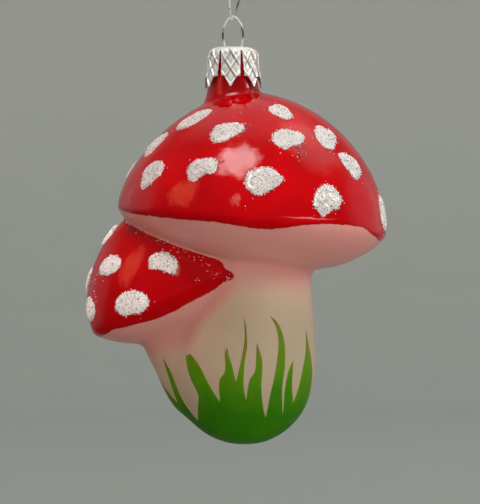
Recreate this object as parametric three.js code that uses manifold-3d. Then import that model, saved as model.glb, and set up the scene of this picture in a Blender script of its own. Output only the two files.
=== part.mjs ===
// Blown-glass ornament: a large toadstool with a small one leaning out of its side.
// It hangs from a stamped crown cap, a sprung wire loop and a wire hook.
// Millimetres, +Z up, front towards -Y. The origin is where the branch sits in the hook.
import * as THREE from "three";
import { mergeVertices } from "three/addons/utils/BufferGeometryUtils.js";
import Module from "manifold-3d";

const wasm = await Module();
wasm.setup();

// Fits between separate pieces
const CLEARANCE = 0.3;
const GLUE_BED = 0.3;

// Hook
const HOOK_WIRE = 0.5;
const HOOK_BEND_RADIUS = 6;
const HOOK_DROP = 22.7;
const HOOK_TIP_LENGTH = 4;
const HOOK_TIP_FLARE = 0.4;
const HOOK_EYE_ROOM = 0.7;
const HOOK_EYE_TURN = 58;
const HOOK_TAIL = 6.5;
const HOOK_TAIL_FLARE = 0.4;
const HOOK_SHANK_FLARE = 0.5;

// Hanger wire
const HANGER_WIRE = 0.52;
const LOOP_RISE = 7.85;
const LOOP_WIDTH = 5.06;
const LOOP_WIDEST_AT = 3.2;
const LOOP_SHOULDER_WIDTH = 3.7;
const LOOP_SHOULDER_DROP = 1.75;
const LOOP_FOOT = 4.1;
const LEG_LENGTH = 15;
const LEG_TOUCH_AT = 9;
const LEG_TOE_IN = 0.6;
const LEG_STRAIGHT = 0.5;

// Crown cap
const CROWN_SHEET = 0.3;
const CROWN_SHOULDER = 2;
const CROWN_SKIRT = 7.3;
const PETALS = 7;
const PETAL_TURN = -5;
const PETAL_POINT = 2.6;
const PETAL_POINT_WIDTH = 2.9;
const PETAL_POINT_END = 0.6;
const SLIT_START = 0.9;
const SLIT_TOP = 0.3;
const SLIT_FOOT = 1.1;
const SLIT_CUT_DEPTH = 5;
const SLIT_CUT_START = 1.2;
const SLIT_CUT_BELOW = 1;
const LOZENGE_START = 1.1;
const LOZENGE_WIDTH = 2.5;
const LOZENGE_MARGIN = 0.8;
const LOZENGE_RISE = 0.35;
const LOZENGE_BED = 0.12;

// Glass
const GLASS_WALL = 1;
const NECK_RADIUS = 5.6;
const NECK_STRAIGHT = 3.1;
const NECK_BELOW_CROWN = 6.7;
const NECK_SPREAD = 8.2;
const NECK_FLARE_STEEPNESS = 4.6;
const NECK_SWELL = 0.6;
const NECK_ROOT = 3;
const NECK_ROOT_TAPER = 1;

const CAP_OFFSET = 4.75;
const CAP_RIM_DEPTH = 43;
const CAP_RADIUS = 33.4;
const CAP_HEIGHT = 31.8;
const CAP_FULLNESS = 1.76;
const CAP_DROOP = 3.3;
const CAP_UNDERSIDE_DEPTH = 10.8;
const CAP_UNDERSIDE_DISH = 0.5;
const CAP_OVER_STEM = 2;
const CAP_UNDERSIDE_FULLNESS = 1.5;

const STEM_OFFSET = 2.5;
const STEM_TOP_DEPTH = 48;
const STEM_TOP_RADIUS = 16.9;
const STEM_WAIST_DEPTH = 60;
const STEM_WAIST_RADIUS = 16.9;
const STEM_BELLY_DEPTH = 77;
const STEM_BELLY_RADIUS = 18.3;
const STEM_BOTTOM_DEPTH = 98.9;
const STEM_FULLNESS = 2.2;

const SMALL_OFFSET = -12.6;
const SMALL_RIM_DEPTH = 60.9;
const SMALL_LEAN = 25;
const SMALL_RADIUS = 24.6;
const SMALL_DEPTH_RADIUS = 18.6;
const SMALL_HEIGHT = 23.3;
const SMALL_FULLNESS = 1.8;
const SMALL_UNDERSIDE_DEPTH = 7.3;
const SMALL_UNDERSIDE_FULLNESS = 1.3;
const SMALL_STALK_RADIUS = 14.7;
const SMALL_STALK_LENGTH = 34.5;
const SMALL_FOOT_ROUND = 12;

// Glitter patches, one row each: bearing from the front, climb from rim to top,
// length, width, turn of the long side, dent in the lower side as a share
const PATCH_THICKNESS = 0.7;
const PATCH_CUT_REACH = 3.5;
const PATCH_SIDES = 12;
const PATCH_RAGGED = 0.06;
const LARGE_PATCHES = [
  [-48, 52, 9.3, 6, 51, 0.15],
  [-68, 37.5, 8, 5.5, 60, 0],
  [-96, 24, 7, 6, 20, 0],
  [-52, 21, 9, 6.5, 54, 0.3],
  [-16, 44, 9, 6.2, 33, 0],
  [-24, 24, 9, 6.2, 28, 0.3],
  [4, 20, 9.2, 7.2, 18, 0.1],
  [24, 58, 7.5, 5, -58, 0],
  [20, 40, 9, 6.2, 8, 0.15],
  [48, 42, 8.6, 6, 50, 0],
  [56, 28, 8, 5.4, -60, 0.2],
  [33, 12, 8.7, 7.2, 40, 0.3],
  [77, 9, 6.8, 5, 85, 0],
  [103, 30, 9, 6, 40, 0],
  [118, 14, 9, 6.5, 20, 0.25],
  [130, 44, 9, 6, -40, 0],
  [150, 24, 9.5, 6.5, 60, 0],
  [170, 55, 8, 5.5, 20, 0],
  [178, 14, 9, 7, 10, 0.3],
  [197, 36, 9.5, 6, 35, 0],
  [218, 18, 9.5, 6.5, -30, 0],
  [232, 45, 8.5, 6, 60, 0],
  [250, 23, 9, 6, 30, 0.2],
];
const SMALL_PATCHES = [
  [-84, 62, 6.5, 5, 60, 0],
  [-44, 38, 8.2, 5, 5, 0],
  [-2, 23, 8.3, 5.4, -42, 0.1],
  [-92, 35, 6, 5, 80, 0],
  [-72, 16.5, 5.6, 5.4, 70, 0],
  [-30, 8.5, 9.4, 6.2, -12, 0],
  [-128, 42, 8, 5.5, 40, 0],
  [-122, 14, 8.5, 6, 10, 0.2],
  [-160, 24, 8.5, 6, 30, 0],
];

const radians = THREE.MathUtils.degToRad;

// Levels and fits that follow from the sizes above, with the top of the crown cap as zero
const crownInside = NECK_RADIUS + CLEARANCE;
const crownOutside = crownInside + CROWN_SHEET;
const crownLength = CROWN_SKIRT + PETAL_POINT;
const neckTop = -CROWN_SHOULDER;
const neckDepth = crownLength + NECK_BELOW_CROWN;

function solidOf(geometry) {
  const bare = geometry.clone();
  bare.deleteAttribute("normal");
  bare.deleteAttribute("uv");
  const merged = mergeVertices(bare, 1e-4);
  return new wasm.Manifold(new wasm.Mesh({
    numProp: 3,
    vertProperties: new Float32Array(merged.attributes.position.array),
    triVerts: new Uint32Array(merged.index.array),
  }));
}

function geometryOf(solid) {
  const mesh = solid.getMesh();
  const geometry = new THREE.BufferGeometry();
  geometry.setAttribute("position", new THREE.BufferAttribute(mesh.vertProperties, 3));
  geometry.setIndex(new THREE.BufferAttribute(mesh.triVerts, 1));
  const faceted = geometry.toNonIndexed();
  faceted.computeVertexNormals();
  return faceted;
}

function meshOf(name, geometry, colour, roughness, metalness) {
  const material = new THREE.MeshStandardMaterial({ color: colour, roughness, metalness });
  const mesh = new THREE.Mesh(geometry, material);
  mesh.name = name;
  return mesh;
}

// Revolves a profile that runs from the top of its axis down to the bottom of it.
function revolve(profile, segments) {
  const upwards = profile.slice().reverse();
  return new THREE.LatheGeometry(upwards, segments).rotateX(Math.PI / 2);
}

// Moves a profile outwards by a distance, keeping its two ends on the axis.
function offsetProfile(profile, distance) {
  const last = profile.length - 1;
  return profile.map((point, i) => {
    if (i === 0) {
      return new THREE.Vector2(point.x, point.y + distance);
    }
    if (i === last) {
      return new THREE.Vector2(point.x, point.y - distance);
    }
    const before = point.clone().sub(profile[i - 1]).normalize();
    const after = profile[i + 1].clone().sub(point).normalize();
    const middle = before.clone().add(after).normalize();
    const stretch = 1 / Math.max(0.5, middle.dot(after));
    const normal = new THREE.Vector2(-middle.y, middle.x);
    return point.clone().addScaledVector(normal, distance * stretch);
  });
}

// One point of a quarter superellipse, from the top (0) to the rim (1).
function quarterPoint(radius, height, fullness, share) {
  const angle = share * Math.PI / 2;
  const power = 2 / fullness;
  const out = Math.max(0, Math.sin(angle)) ** power;
  const up = Math.max(0, Math.cos(angle)) ** power;
  return new THREE.Vector2(radius * out, height * up);
}

function quarterCurve(radius, height, fullness, steps) {
  const points = [];
  for (let i = 0; i <= steps; i += 1) {
    points.push(quarterPoint(radius, height, fullness, i / steps));
  }
  return points;
}

// Large cap: a dome, a turned rim and a shallow underside that runs in under the stem top.
function capProfile() {
  const dome = quarterCurve(CAP_RADIUS, CAP_HEIGHT, CAP_FULLNESS, 13);
  const reach = CAP_RADIUS - STEM_WAIST_RADIUS + CAP_OVER_STEM;
  const under = quarterCurve(reach, CAP_UNDERSIDE_DEPTH, CAP_UNDERSIDE_FULLNESS, 6);
  const inner = CAP_RADIUS - reach;
  const underside = under.reverse().slice(1).map((p) => new THREE.Vector2(inner + p.x, -p.y));
  const end = new THREE.Vector2(0, -CAP_UNDERSIDE_DEPTH - CAP_UNDERSIDE_DISH);
  return [...dome, ...underside, end];
}

// The rim hangs lower on the right; the top of the dome stays level.
function droop(geometry) {
  const position = geometry.attributes.position;
  for (let i = 0; i < position.count; i += 1) {
    const below = (CAP_HEIGHT - position.getZ(i)) / CAP_HEIGHT;
    const share = THREE.MathUtils.clamp(below, 0, 1) ** 3;
    const drop = CAP_DROOP * share * position.getX(i) / CAP_RADIUS;
    position.setZ(i, position.getZ(i) - drop);
  }
  return geometry;
}

function stemProfile() {
  const sides = new THREE.SplineCurve([
    new THREE.Vector2(STEM_TOP_RADIUS, -STEM_TOP_DEPTH),
    new THREE.Vector2(STEM_WAIST_RADIUS, -STEM_WAIST_DEPTH),
    new THREE.Vector2(STEM_BELLY_RADIUS, -STEM_BELLY_DEPTH),
  ]).getPoints(6);
  const rounding = STEM_BOTTOM_DEPTH - STEM_BELLY_DEPTH;
  const quarter = quarterCurve(STEM_BELLY_RADIUS, rounding, STEM_FULLNESS, 8).reverse().slice(1);
  const bottom = quarter.map((p) => new THREE.Vector2(p.x, -STEM_BELLY_DEPTH - p.y));
  return [new THREE.Vector2(0, -STEM_TOP_DEPTH), ...sides, ...bottom];
}

// The neck runs straight inside the crown cap, then spreads into the top of the dome.
function neckFlare() {
  return new THREE.QuadraticBezierCurve(
    new THREE.Vector2(NECK_RADIUS, neckTop - NECK_STRAIGHT),
    new THREE.Vector2(NECK_RADIUS + NECK_SWELL, -neckDepth + NECK_FLARE_STEEPNESS),
    new THREE.Vector2(NECK_SPREAD, -neckDepth),
  );
}

function neckProfile(top) {
  return [
    new THREE.Vector2(0, top),
    new THREE.Vector2(NECK_RADIUS, top),
    ...neckFlare().getPoints(6),
    new THREE.Vector2(NECK_SPREAD - NECK_ROOT_TAPER, -neckDepth - NECK_ROOT),
    new THREE.Vector2(0, -neckDepth - NECK_ROOT),
  ];
}

// Small toadstool in its own frame: dome, rim, underside and stalk about one axis.
function smallProfile() {
  const dome = quarterCurve(SMALL_RADIUS, SMALL_HEIGHT, SMALL_FULLNESS, 11);
  const reach = SMALL_RADIUS - SMALL_STALK_RADIUS;
  const under = quarterCurve(reach, SMALL_UNDERSIDE_DEPTH, SMALL_UNDERSIDE_FULLNESS, 4);
  const underside = under.reverse().slice(1).map(
    (p) => new THREE.Vector2(SMALL_STALK_RADIUS + p.x, -p.y));
  const stalkEnd = SMALL_STALK_LENGTH - SMALL_FOOT_ROUND;
  const foot = quarterCurve(SMALL_STALK_RADIUS, SMALL_FOOT_ROUND, 2, 4).reverse();
  const stalk = foot.map((p) => new THREE.Vector2(p.x, -stalkEnd - p.y));
  return [...dome, ...underside, ...stalk];
}

// The outer form of the glass, moved outwards by a distance.
function glassForm(distance, neckTop, segments) {
  const cap = droop(revolve(offsetProfile(capProfile(), distance), segments));
  cap.translate(CAP_OFFSET, 0, -CAP_RIM_DEPTH);
  const stem = revolve(offsetProfile(stemProfile(), distance), segments - 8);
  stem.translate(STEM_OFFSET, 0, 0);
  const small = revolve(offsetProfile(smallProfile(), distance), segments - 12);
  small.scale(1, (SMALL_DEPTH_RADIUS + distance) / (SMALL_RADIUS + distance), 1);
  small.rotateY(-radians(SMALL_LEAN));
  small.translate(SMALL_OFFSET, 0, -SMALL_RIM_DEPTH);
  const neck = revolve(offsetProfile(neckProfile(neckTop), distance), segments - 16);
  return solidOf(cap).add(solidOf(stem)).add(solidOf(small)).add(solidOf(neck));
}

function glassBody() {
  const outside = glassForm(0, neckTop, 44);
  const inside = glassForm(-GLASS_WALL, neckTop + 2 * GLASS_WALL, 32);
  return geometryOf(outside.subtract(inside));
}

// Outline of a patch: an oval with a slight wave and a dent in its lower side.
function patchOutline(length, width, dent, phase) {
  const points = [];
  for (let i = 0; i < PATCH_SIDES; i += 1) {
    const angle = i / PATCH_SIDES * 2 * Math.PI;
    const fromDent = Math.sin(angle / 2 + Math.PI / 4) ** 2;
    const bite = dent * Math.max(0, 1 - 4 * fromDent);
    const swell = 1 + PATCH_RAGGED * Math.sin(3 * angle + phase) - bite;
    const x = length / 2 * Math.cos(angle) * swell;
    const y = width / 2 * Math.sin(angle) * swell;
    points.push(new THREE.Vector2(x, y));
  }
  return new THREE.Shape(points);
}

// A straight-sided block over one patch of a dome, square to the surface there.
function patchBlock(row, phase, radius, depthRadius, height, fullness) {
  const [bearing, climb, length, width, turn, dent] = row;
  const shape = patchOutline(length, width, dent, phase);
  const depth = 2 * PATCH_CUT_REACH;
  const block = new THREE.ExtrudeGeometry(shape, { depth, bevelEnabled: false, steps: 1 });
  block.translate(0, 0, -PATCH_CUT_REACH);
  block.rotateZ(radians(turn));
  const share = 1 - climb / 90;
  const spot = quarterPoint(radius, height, fullness, share);
  const above = quarterPoint(radius, height, fullness, share - 0.01);
  const angle = radians(bearing);
  const flatten = depthRadius / radius;
  const place = (p, a) => new THREE.Vector3(
    p.x * Math.sin(a), -p.x * Math.cos(a) * flatten, p.y);
  const centre = place(spot, angle);
  const upSlope = place(above, angle).sub(centre).normalize();
  const across = place(spot, angle + 0.01).sub(centre).normalize();
  const outward = across.clone().cross(upSlope).normalize();
  const square = outward.clone().cross(across).normalize();
  block.applyMatrix4(new THREE.Matrix4().makeBasis(across, square, outward));
  block.translate(centre.x, centre.y, centre.z);
  return block;
}

function glitterPatches() {
  const top = glassForm(GLUE_BED + PATCH_THICKNESS, neckTop, 36);
  const layer = top.subtract(glassForm(GLUE_BED, neckTop, 36));
  const patches = [];
  LARGE_PATCHES.forEach((row, i) => {
    const block = patchBlock(row, i * 1.7, CAP_RADIUS, CAP_RADIUS, CAP_HEIGHT, CAP_FULLNESS);
    droop(block).translate(CAP_OFFSET, 0, -CAP_RIM_DEPTH);
    const number = String(i + 1).padStart(2, "0");
    patches.push([`glitter_large_${number}`, layer.intersect(solidOf(block))]);
  });
  SMALL_PATCHES.forEach((row, i) => {
    const block = patchBlock(
      row, i * 1.3, SMALL_RADIUS, SMALL_DEPTH_RADIUS, SMALL_HEIGHT, SMALL_FULLNESS);
    block.rotateY(-radians(SMALL_LEAN)).translate(SMALL_OFFSET, 0, -SMALL_RIM_DEPTH);
    const number = String(i + 1).padStart(2, "0");
    patches.push([`glitter_small_${number}`, layer.intersect(solidOf(block))]);
  });
  return patches;
}

// Crown cap: a drawn tin cup, slit into petals, each with a point and two pressed lozenges.
const neckAtPoints = neckFlare().getPoints(60).find((p) => p.y <= -crownLength);
const crownFlare = neckAtPoints.x + CLEARANCE - crownInside;
const lozengeHeight = (crownLength - LOZENGE_START - LOZENGE_MARGIN) / 2;

function crownProfile() {
  const points = [new THREE.Vector2(0, 0)];
  const flat = crownOutside - CROWN_SHOULDER;
  for (let i = 0; i <= 3; i += 1) {
    const angle = i / 3 * Math.PI / 2;
    const out = flat + CROWN_SHOULDER * Math.sin(angle);
    points.push(new THREE.Vector2(out, CROWN_SHOULDER * (Math.cos(angle) - 1)));
  }
  points.push(new THREE.Vector2(crownOutside + crownFlare, -crownLength));
  points.push(new THREE.Vector2(crownInside + crownFlare, -crownLength));
  const innerRound = CROWN_SHOULDER - CROWN_SHEET;
  for (let i = 3; i >= 0; i -= 1) {
    const angle = i / 3 * Math.PI / 2;
    const out = flat + innerRound * Math.sin(angle);
    points.push(new THREE.Vector2(out, innerRound * Math.cos(angle) - CROWN_SHOULDER));
  }
  points.push(new THREE.Vector2(0, -CROWN_SHEET));
  return points;
}

// What is cut away between two neighbouring petals, standing in the plane x, z and run along y.
function slitBlock() {
  const pitch = radians(180 / PETALS);
  const footRadius = crownOutside + crownFlare;
  const tip = footRadius * Math.sin(pitch) - PETAL_POINT_END / 2;
  const shoulder = footRadius * Math.sin(pitch) - PETAL_POINT_WIDTH / 2;
  const half = [
    [SLIT_TOP / 2, -SLIT_START],
    [SLIT_FOOT / 2, -CROWN_SKIRT],
    [shoulder, -CROWN_SKIRT],
    [tip, -crownLength],
    [tip, -crownLength - SLIT_CUT_BELOW],
  ];
  const right = half.map(([x, z]) => new THREE.Vector2(x, z));
  const left = half.map(([x, z]) => new THREE.Vector2(-x, z)).reverse();
  const shape = new THREE.Shape([...right, ...left]);
  const depth = SLIT_CUT_DEPTH;
  const block = new THREE.ExtrudeGeometry(shape, { depth, bevelEnabled: false, steps: 1 });
  return block.rotateX(Math.PI / 2).translate(0, -crownInside + SLIT_CUT_START, 0);
}

function lozenge(middle) {
  const rise = LOZENGE_RISE + LOZENGE_BED;
  const pyramid = new THREE.ConeGeometry(1, rise, 4, 1).rotateX(Math.PI / 2);
  pyramid.scale(LOZENGE_WIDTH / 2, lozengeHeight / 2, 1);
  pyramid.rotateX(Math.PI / 2);
  pyramid.rotateX(-Math.atan2(crownFlare, crownLength - CROWN_SHOULDER));
  const share = (middle - CROWN_SHOULDER) / (crownLength - CROWN_SHOULDER);
  const outside = crownOutside + crownFlare * share;
  return pyramid.translate(0, -outside + LOZENGE_BED - rise / 2, -middle);
}

function crownCap() {
  let crown = solidOf(revolve(crownProfile(), PETALS * 6));
  const pitch = 2 * Math.PI / PETALS;
  const turn = radians(PETAL_TURN);
  for (let i = 0; i < PETALS; i += 1) {
    const upper = lozenge(LOZENGE_START + lozengeHeight / 2).rotateZ(turn + i * pitch);
    const lower = lozenge(LOZENGE_START + lozengeHeight * 1.5).rotateZ(turn + i * pitch);
    crown = crown.add(solidOf(upper)).add(solidOf(lower));
  }
  for (let i = 0; i < PETALS; i += 1) {
    const slit = slitBlock().rotateZ(turn + (i + 0.5) * pitch);
    crown = crown.subtract(solidOf(slit));
  }
  const room = HANGER_WIRE / 2 + CLEARANCE;
  const inner = LOOP_FOOT / 2 - room;
  const outer = LOOP_WIDTH / 2 + room;
  const slot = new THREE.BoxGeometry(outer - inner, 2 * room, 4 * CROWN_SHEET);
  slot.translate((inner + outer) / 2, 0, 0);
  const slots = solidOf(slot).add(solidOf(slot.clone().rotateZ(Math.PI)));
  return geometryOf(crown.subtract(slots));
}

// Round wire swept along a curve.
function wire(curve, thickness, steps) {
  const section = new THREE.Shape();
  section.absarc(0, 0, thickness / 2, 0, 2 * Math.PI, false);
  return new THREE.ExtrudeGeometry(section, { extrudePath: curve, steps, curveSegments: 4 });
}

// Hanger: right half of the wire from the top of the loop down to the end of a leg.
function hangerWire() {
  const bore = NECK_RADIUS - GLASS_WALL;
  const touch = bore - CLEARANCE - HANGER_WIRE / 2;
  const foot = LOOP_FOOT / 2;
  const half = [
    [LOOP_SHOULDER_WIDTH / 2, LOOP_RISE - LOOP_SHOULDER_DROP],
    [LOOP_WIDTH / 2, LOOP_WIDEST_AT],
    [foot, 0],
    [foot, -CROWN_SHEET - LEG_STRAIGHT],
    [touch, -LEG_TOUCH_AT],
    [touch - LEG_TOE_IN, -LEG_LENGTH],
  ];
  const right = half.map(([x, z]) => new THREE.Vector3(x, 0, z));
  const left = half.map(([x, z]) => new THREE.Vector3(-x, 0, z)).reverse();
  const top = new THREE.Vector3(0, 0, LOOP_RISE);
  const path = new THREE.CatmullRomCurve3([...left, top, ...right], false, "centripetal");
  return wire(path, HANGER_WIRE, 64);
}

// Hook: a tail, a small eye under the loop, a slanting shank and an open bend over the branch.
const loopTop = -HOOK_DROP + CLEARANCE + HANGER_WIRE / 2;
const crownTop = loopTop - LOOP_RISE;

function hookWire() {
  const bend = HOOK_BEND_RADIUS + HOOK_WIRE / 2;
  const eye = (HOOK_WIRE + HANGER_WIRE) / 2 + HOOK_EYE_ROOM;
  const eyeBottom = -HOOK_DROP - HOOK_WIRE / 2;
  const eyeTop = eyeBottom + 2 * eye;
  const turn = radians(HOOK_EYE_TURN);
  const across = new THREE.Vector3(Math.cos(turn), Math.sin(turn), 0);
  const at = (side, z) => across.clone().multiplyScalar(side).setZ(z);
  const points = [];
  points.push(at(-eye - HOOK_TAIL_FLARE, eyeBottom + HOOK_TAIL));
  points.push(at(-eye - HOOK_TAIL_FLARE, eyeTop + eye / 2));
  for (let i = -2; i <= 2; i += 1) {
    const angle = i * Math.PI / 5;
    points.push(at(eye * Math.sin(angle), eyeBottom + eye * (1 - Math.cos(angle))));
  }
  points.push(at(eye + HOOK_SHANK_FLARE, eyeTop + eye / 2));
  for (let i = 0; i <= 8; i += 1) {
    const angle = i / 8 * Math.PI;
    const level = bend * Math.sin(angle) - HOOK_BEND_RADIUS;
    points.push(new THREE.Vector3(bend * Math.cos(angle), 0, level));
  }
  const tip = -HOOK_BEND_RADIUS - HOOK_TIP_LENGTH;
  points.push(new THREE.Vector3(-bend - HOOK_TIP_FLARE, 0, tip));
  return wire(new THREE.CatmullRomCurve3(points, false, "centripetal"), HOOK_WIRE, 72);
}

const group = new THREE.Group();
group.name = "mushroom_ornament";
group.add(meshOf("hook", hookWire(), "#c9c6bf", 0.3, 1));

// Everything below hangs in the frame of the crown cap, whose top face is its zero level.
const hanging = new THREE.Group();
hanging.name = "hanging";
hanging.position.z = crownTop;
hanging.add(meshOf("hanger_wire", hangerWire(), "#d2d0cb", 0.28, 1));
hanging.add(meshOf("crown_cap", crownCap(), "#cfcdc4", 0.3, 1));
hanging.add(meshOf("glass_body", glassBody(), "#b3121d", 0.12, 0.1));
for (const [name, solid] of glitterPatches()) {
  hanging.add(meshOf(name, geometryOf(solid), "#cbc2b8", 0.6, 0));
}
group.add(hanging);

export default group;
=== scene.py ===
import math
import random

import bpy
import numpy as np
from mathutils import Matrix, Vector, noise
from mathutils.bvhtree import BVHTree


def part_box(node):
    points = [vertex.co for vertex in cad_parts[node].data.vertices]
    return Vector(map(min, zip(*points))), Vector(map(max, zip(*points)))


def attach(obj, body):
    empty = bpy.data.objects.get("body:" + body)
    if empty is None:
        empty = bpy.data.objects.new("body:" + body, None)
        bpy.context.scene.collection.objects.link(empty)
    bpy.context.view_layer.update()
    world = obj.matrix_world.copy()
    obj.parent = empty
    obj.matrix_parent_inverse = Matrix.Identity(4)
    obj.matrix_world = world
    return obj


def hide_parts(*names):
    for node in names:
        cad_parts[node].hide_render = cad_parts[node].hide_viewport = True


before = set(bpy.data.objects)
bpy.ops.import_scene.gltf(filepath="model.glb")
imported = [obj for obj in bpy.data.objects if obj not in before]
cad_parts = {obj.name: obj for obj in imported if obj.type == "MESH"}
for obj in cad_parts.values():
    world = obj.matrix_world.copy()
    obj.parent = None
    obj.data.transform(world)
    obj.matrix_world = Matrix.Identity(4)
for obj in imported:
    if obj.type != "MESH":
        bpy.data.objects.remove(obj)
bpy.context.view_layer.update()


# BLOWN GLASS BODY
# One thin shell of glass, blown into a two-part mould: a large toadstool, a small one leaning
# out of its left side, and an open neck on top. It is airbrushed cream and pink and dipped in red.
MM = 0.001
CROWN_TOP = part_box("crown_cap")[1].z

CAP_PLACE = (4.75, -43.0)
CAP_RADIUS = 33.4
CAP_HEIGHT = 31.8
CAP_FULLNESS = 1.76
CAP_DROOP = 3.3
CAP_UNDER_REACH = 18.5
CAP_UNDER_DEPTH = 10.8
CAP_UNDER_FULLNESS = 1.5
CAP_UNDER_SAG = 0.5

STEM_PLACE = 2.5
STEM_TOP = 48.0
STEM_WAIST = (16.9, 60.0)
STEM_BELLY = (18.3, 77.0)
STEM_BOTTOM = 98.9
STEM_FULLNESS = 2.2
STEM_SWELL = (54.0, 81.0)
STEM_SWELL_PUSH = 1.1

SMALL_PLACE = (-12.6, -60.9)
SMALL_LEAN = -25.0
SMALL_RADIUS = 24.6
SMALL_DEPTH_SHARE = 18.6 / 24.6
SMALL_HEIGHT = 23.3
SMALL_FULLNESS = 1.8
SMALL_STALK = 14.7
SMALL_UNDER_DEPTH = 7.3
SMALL_UNDER_FULLNESS = 1.3
SMALL_LENGTH = 34.5
SMALL_FOOT = 12.0

NECK_TOP = -2.0
NECK_RADIUS = 5.6
NECK_BORE = 4.6
NECK_BORE_DEPTH = 26.0
NECK_BORE_TOP = 2.0
NECK_FLARE = ((5.6, -5.1), (6.2, -12.0), (8.2, -16.6))
NECK_ROOT = 19.6


def quarter(radius, height, fullness, steps):
    """A quarter of a superellipse, from the top of its axis out to its rim."""
    points = []
    for i in range(steps + 1):
        angle = i / steps * math.pi / 2
        out = max(0.0, math.sin(angle)) ** (2 / fullness)
        up = max(0.0, math.cos(angle)) ** (2 / fullness)
        points.append((radius * out, height * up))
    return points


def turned(name, section, steps):
    """Draws half a section point by point, in mm, and spins it round the upright axis."""
    bpy.ops.object.select_all(action="DESELECT")
    bpy.ops.mesh.primitive_plane_add(size=MM)
    piece = bpy.context.object
    piece.name = name
    bpy.ops.object.mode_set(mode="EDIT")
    bpy.ops.mesh.select_all(action="SELECT")
    bpy.ops.mesh.merge(type="CENTER")
    bpy.ops.transform.translate(value=(section[0][0] * MM, 0, section[0][1] * MM))
    for (x, z), (next_x, next_z) in zip(section, section[1:]):
        step = ((next_x - x) * MM, 0, (next_z - z) * MM)
        bpy.ops.mesh.extrude_region_move(TRANSFORM_OT_translate={"value": step})
    bpy.ops.mesh.select_all(action="SELECT")
    bpy.ops.mesh.spin(steps=steps, angle=2 * math.pi, center=(0, 0, 0), axis=(0, 0, 1))
    bpy.ops.mesh.select_all(action="SELECT")
    bpy.ops.mesh.remove_doubles(threshold=0.002 * MM)
    bpy.ops.mesh.normals_make_consistent(inside=False)
    bpy.ops.object.mode_set(mode="OBJECT")
    return piece


def select_only(*pieces):
    """Selects just these pieces and makes the first one active."""
    bpy.ops.object.select_all(action="DESELECT")
    for piece in pieces:
        piece.select_set(True)
    bpy.context.view_layer.objects.active = pieces[0]


def settle(piece, place, turn=(0, 0, 0), scale=(1, 1, 1)):
    """Turns and moves a piece to its place and leaves that in its mesh."""
    piece.location = [v * MM for v in place]
    piece.rotation_euler = [math.radians(v) for v in turn]
    piece.scale = scale
    select_only(piece)
    bpy.ops.object.transform_apply(location=True, rotation=True, scale=True)


def finish_modifier(piece, modifier):
    """Applies a modifier to its piece."""
    select_only(piece)
    bpy.ops.object.modifier_apply(modifier=modifier.name)


def combine(piece, other, operation):
    """Welds another form to a piece, or cuts it out of it."""
    change = piece.modifiers.new("combine", "BOOLEAN")
    change.operation = operation
    change.solver = "EXACT"
    change.object = other
    finish_modifier(piece, change)
    bpy.data.objects.remove(other)


def surface_of(piece):
    """A search tree over the faces of a piece."""
    mesh = piece.data
    corners = [v.co.copy() for v in mesh.vertices]
    return BVHTree.FromPolygons(corners, [tuple(p.vertices) for p in mesh.polygons])


def points_of(piece):
    """All points of a piece, as one array."""
    points = np.empty(len(piece.data.vertices) * 3)
    piece.data.vertices.foreach_get("co", points)
    return points.reshape(-1, 3)


def put_points(piece, points):
    """Moves all points of a piece."""
    piece.data.vertices.foreach_set("co", np.asarray(points, float).ravel())
    piece.data.update()


def keep_value(piece, name, values):
    """Stores one number for each point of a piece, for its material to read."""
    attribute = piece.data.attributes.new(name, "FLOAT", "POINT")
    attribute.data.foreach_set("value", np.asarray(values, np.float32))


def smoothstep(value, low, high):
    """Goes smoothly from 0 at low to 1 at high; low may be the larger number."""
    share = np.clip((value - low) / (high - low), 0, 1)
    return share * share * (3 - 2 * share)


cap_dome = quarter(CAP_RADIUS, CAP_HEIGHT, CAP_FULLNESS, steps=44)
cap_under = quarter(CAP_UNDER_REACH, CAP_UNDER_DEPTH, CAP_UNDER_FULLNESS, steps=24)[::-1][1:]
cap_inner = CAP_RADIUS - CAP_UNDER_REACH
cap_section = cap_dome + [(cap_inner + x, -z) for x, z in cap_under]
cap_section.append((0, -CAP_UNDER_DEPTH - CAP_UNDER_SAG))
glass = turned("glass_body_painted", cap_section, steps=144)
cap_points = points_of(glass)
below = np.clip((CAP_HEIGHT * MM - cap_points[:, 2]) / (CAP_HEIGHT * MM), 0, 1) ** 3
cap_points[:, 2] -= CAP_DROOP * below * cap_points[:, 0] / CAP_RADIUS
put_points(glass, cap_points)
settle(glass, (CAP_PLACE[0], 0, CAP_PLACE[1] + CROWN_TOP / MM))
cap_surface = surface_of(glass)


def stem_radius(depth):
    """Radius of the stem at a depth below the crown's top, in mm."""
    if depth < STEM_BELLY[1]:
        share = float(smoothstep(depth, *STEM_SWELL))
        return STEM_WAIST[0] + (STEM_BELLY[0] - STEM_WAIST[0]) * min(1.0, share * STEM_SWELL_PUSH)
    drop = min(1.0, (depth - STEM_BELLY[1]) / (STEM_BOTTOM - STEM_BELLY[1]))
    return STEM_BELLY[0] * (1 - drop ** STEM_FULLNESS) ** (1 / STEM_FULLNESS)


stem_depths = [STEM_TOP + i for i in range(int(STEM_BELLY[1] - STEM_TOP))]
stem_section = [(0, -STEM_TOP)] + [(stem_radius(d), -d) for d in stem_depths]
foot = quarter(STEM_BELLY[0], STEM_BOTTOM - STEM_BELLY[1], STEM_FULLNESS, steps=30)[::-1]
stem_section += [(x, -STEM_BELLY[1] - z) for x, z in foot]
stem = turned("stem", stem_section, steps=120)
settle(stem, (STEM_PLACE, 0, CROWN_TOP / MM))
stem_surface = surface_of(stem)

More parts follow.
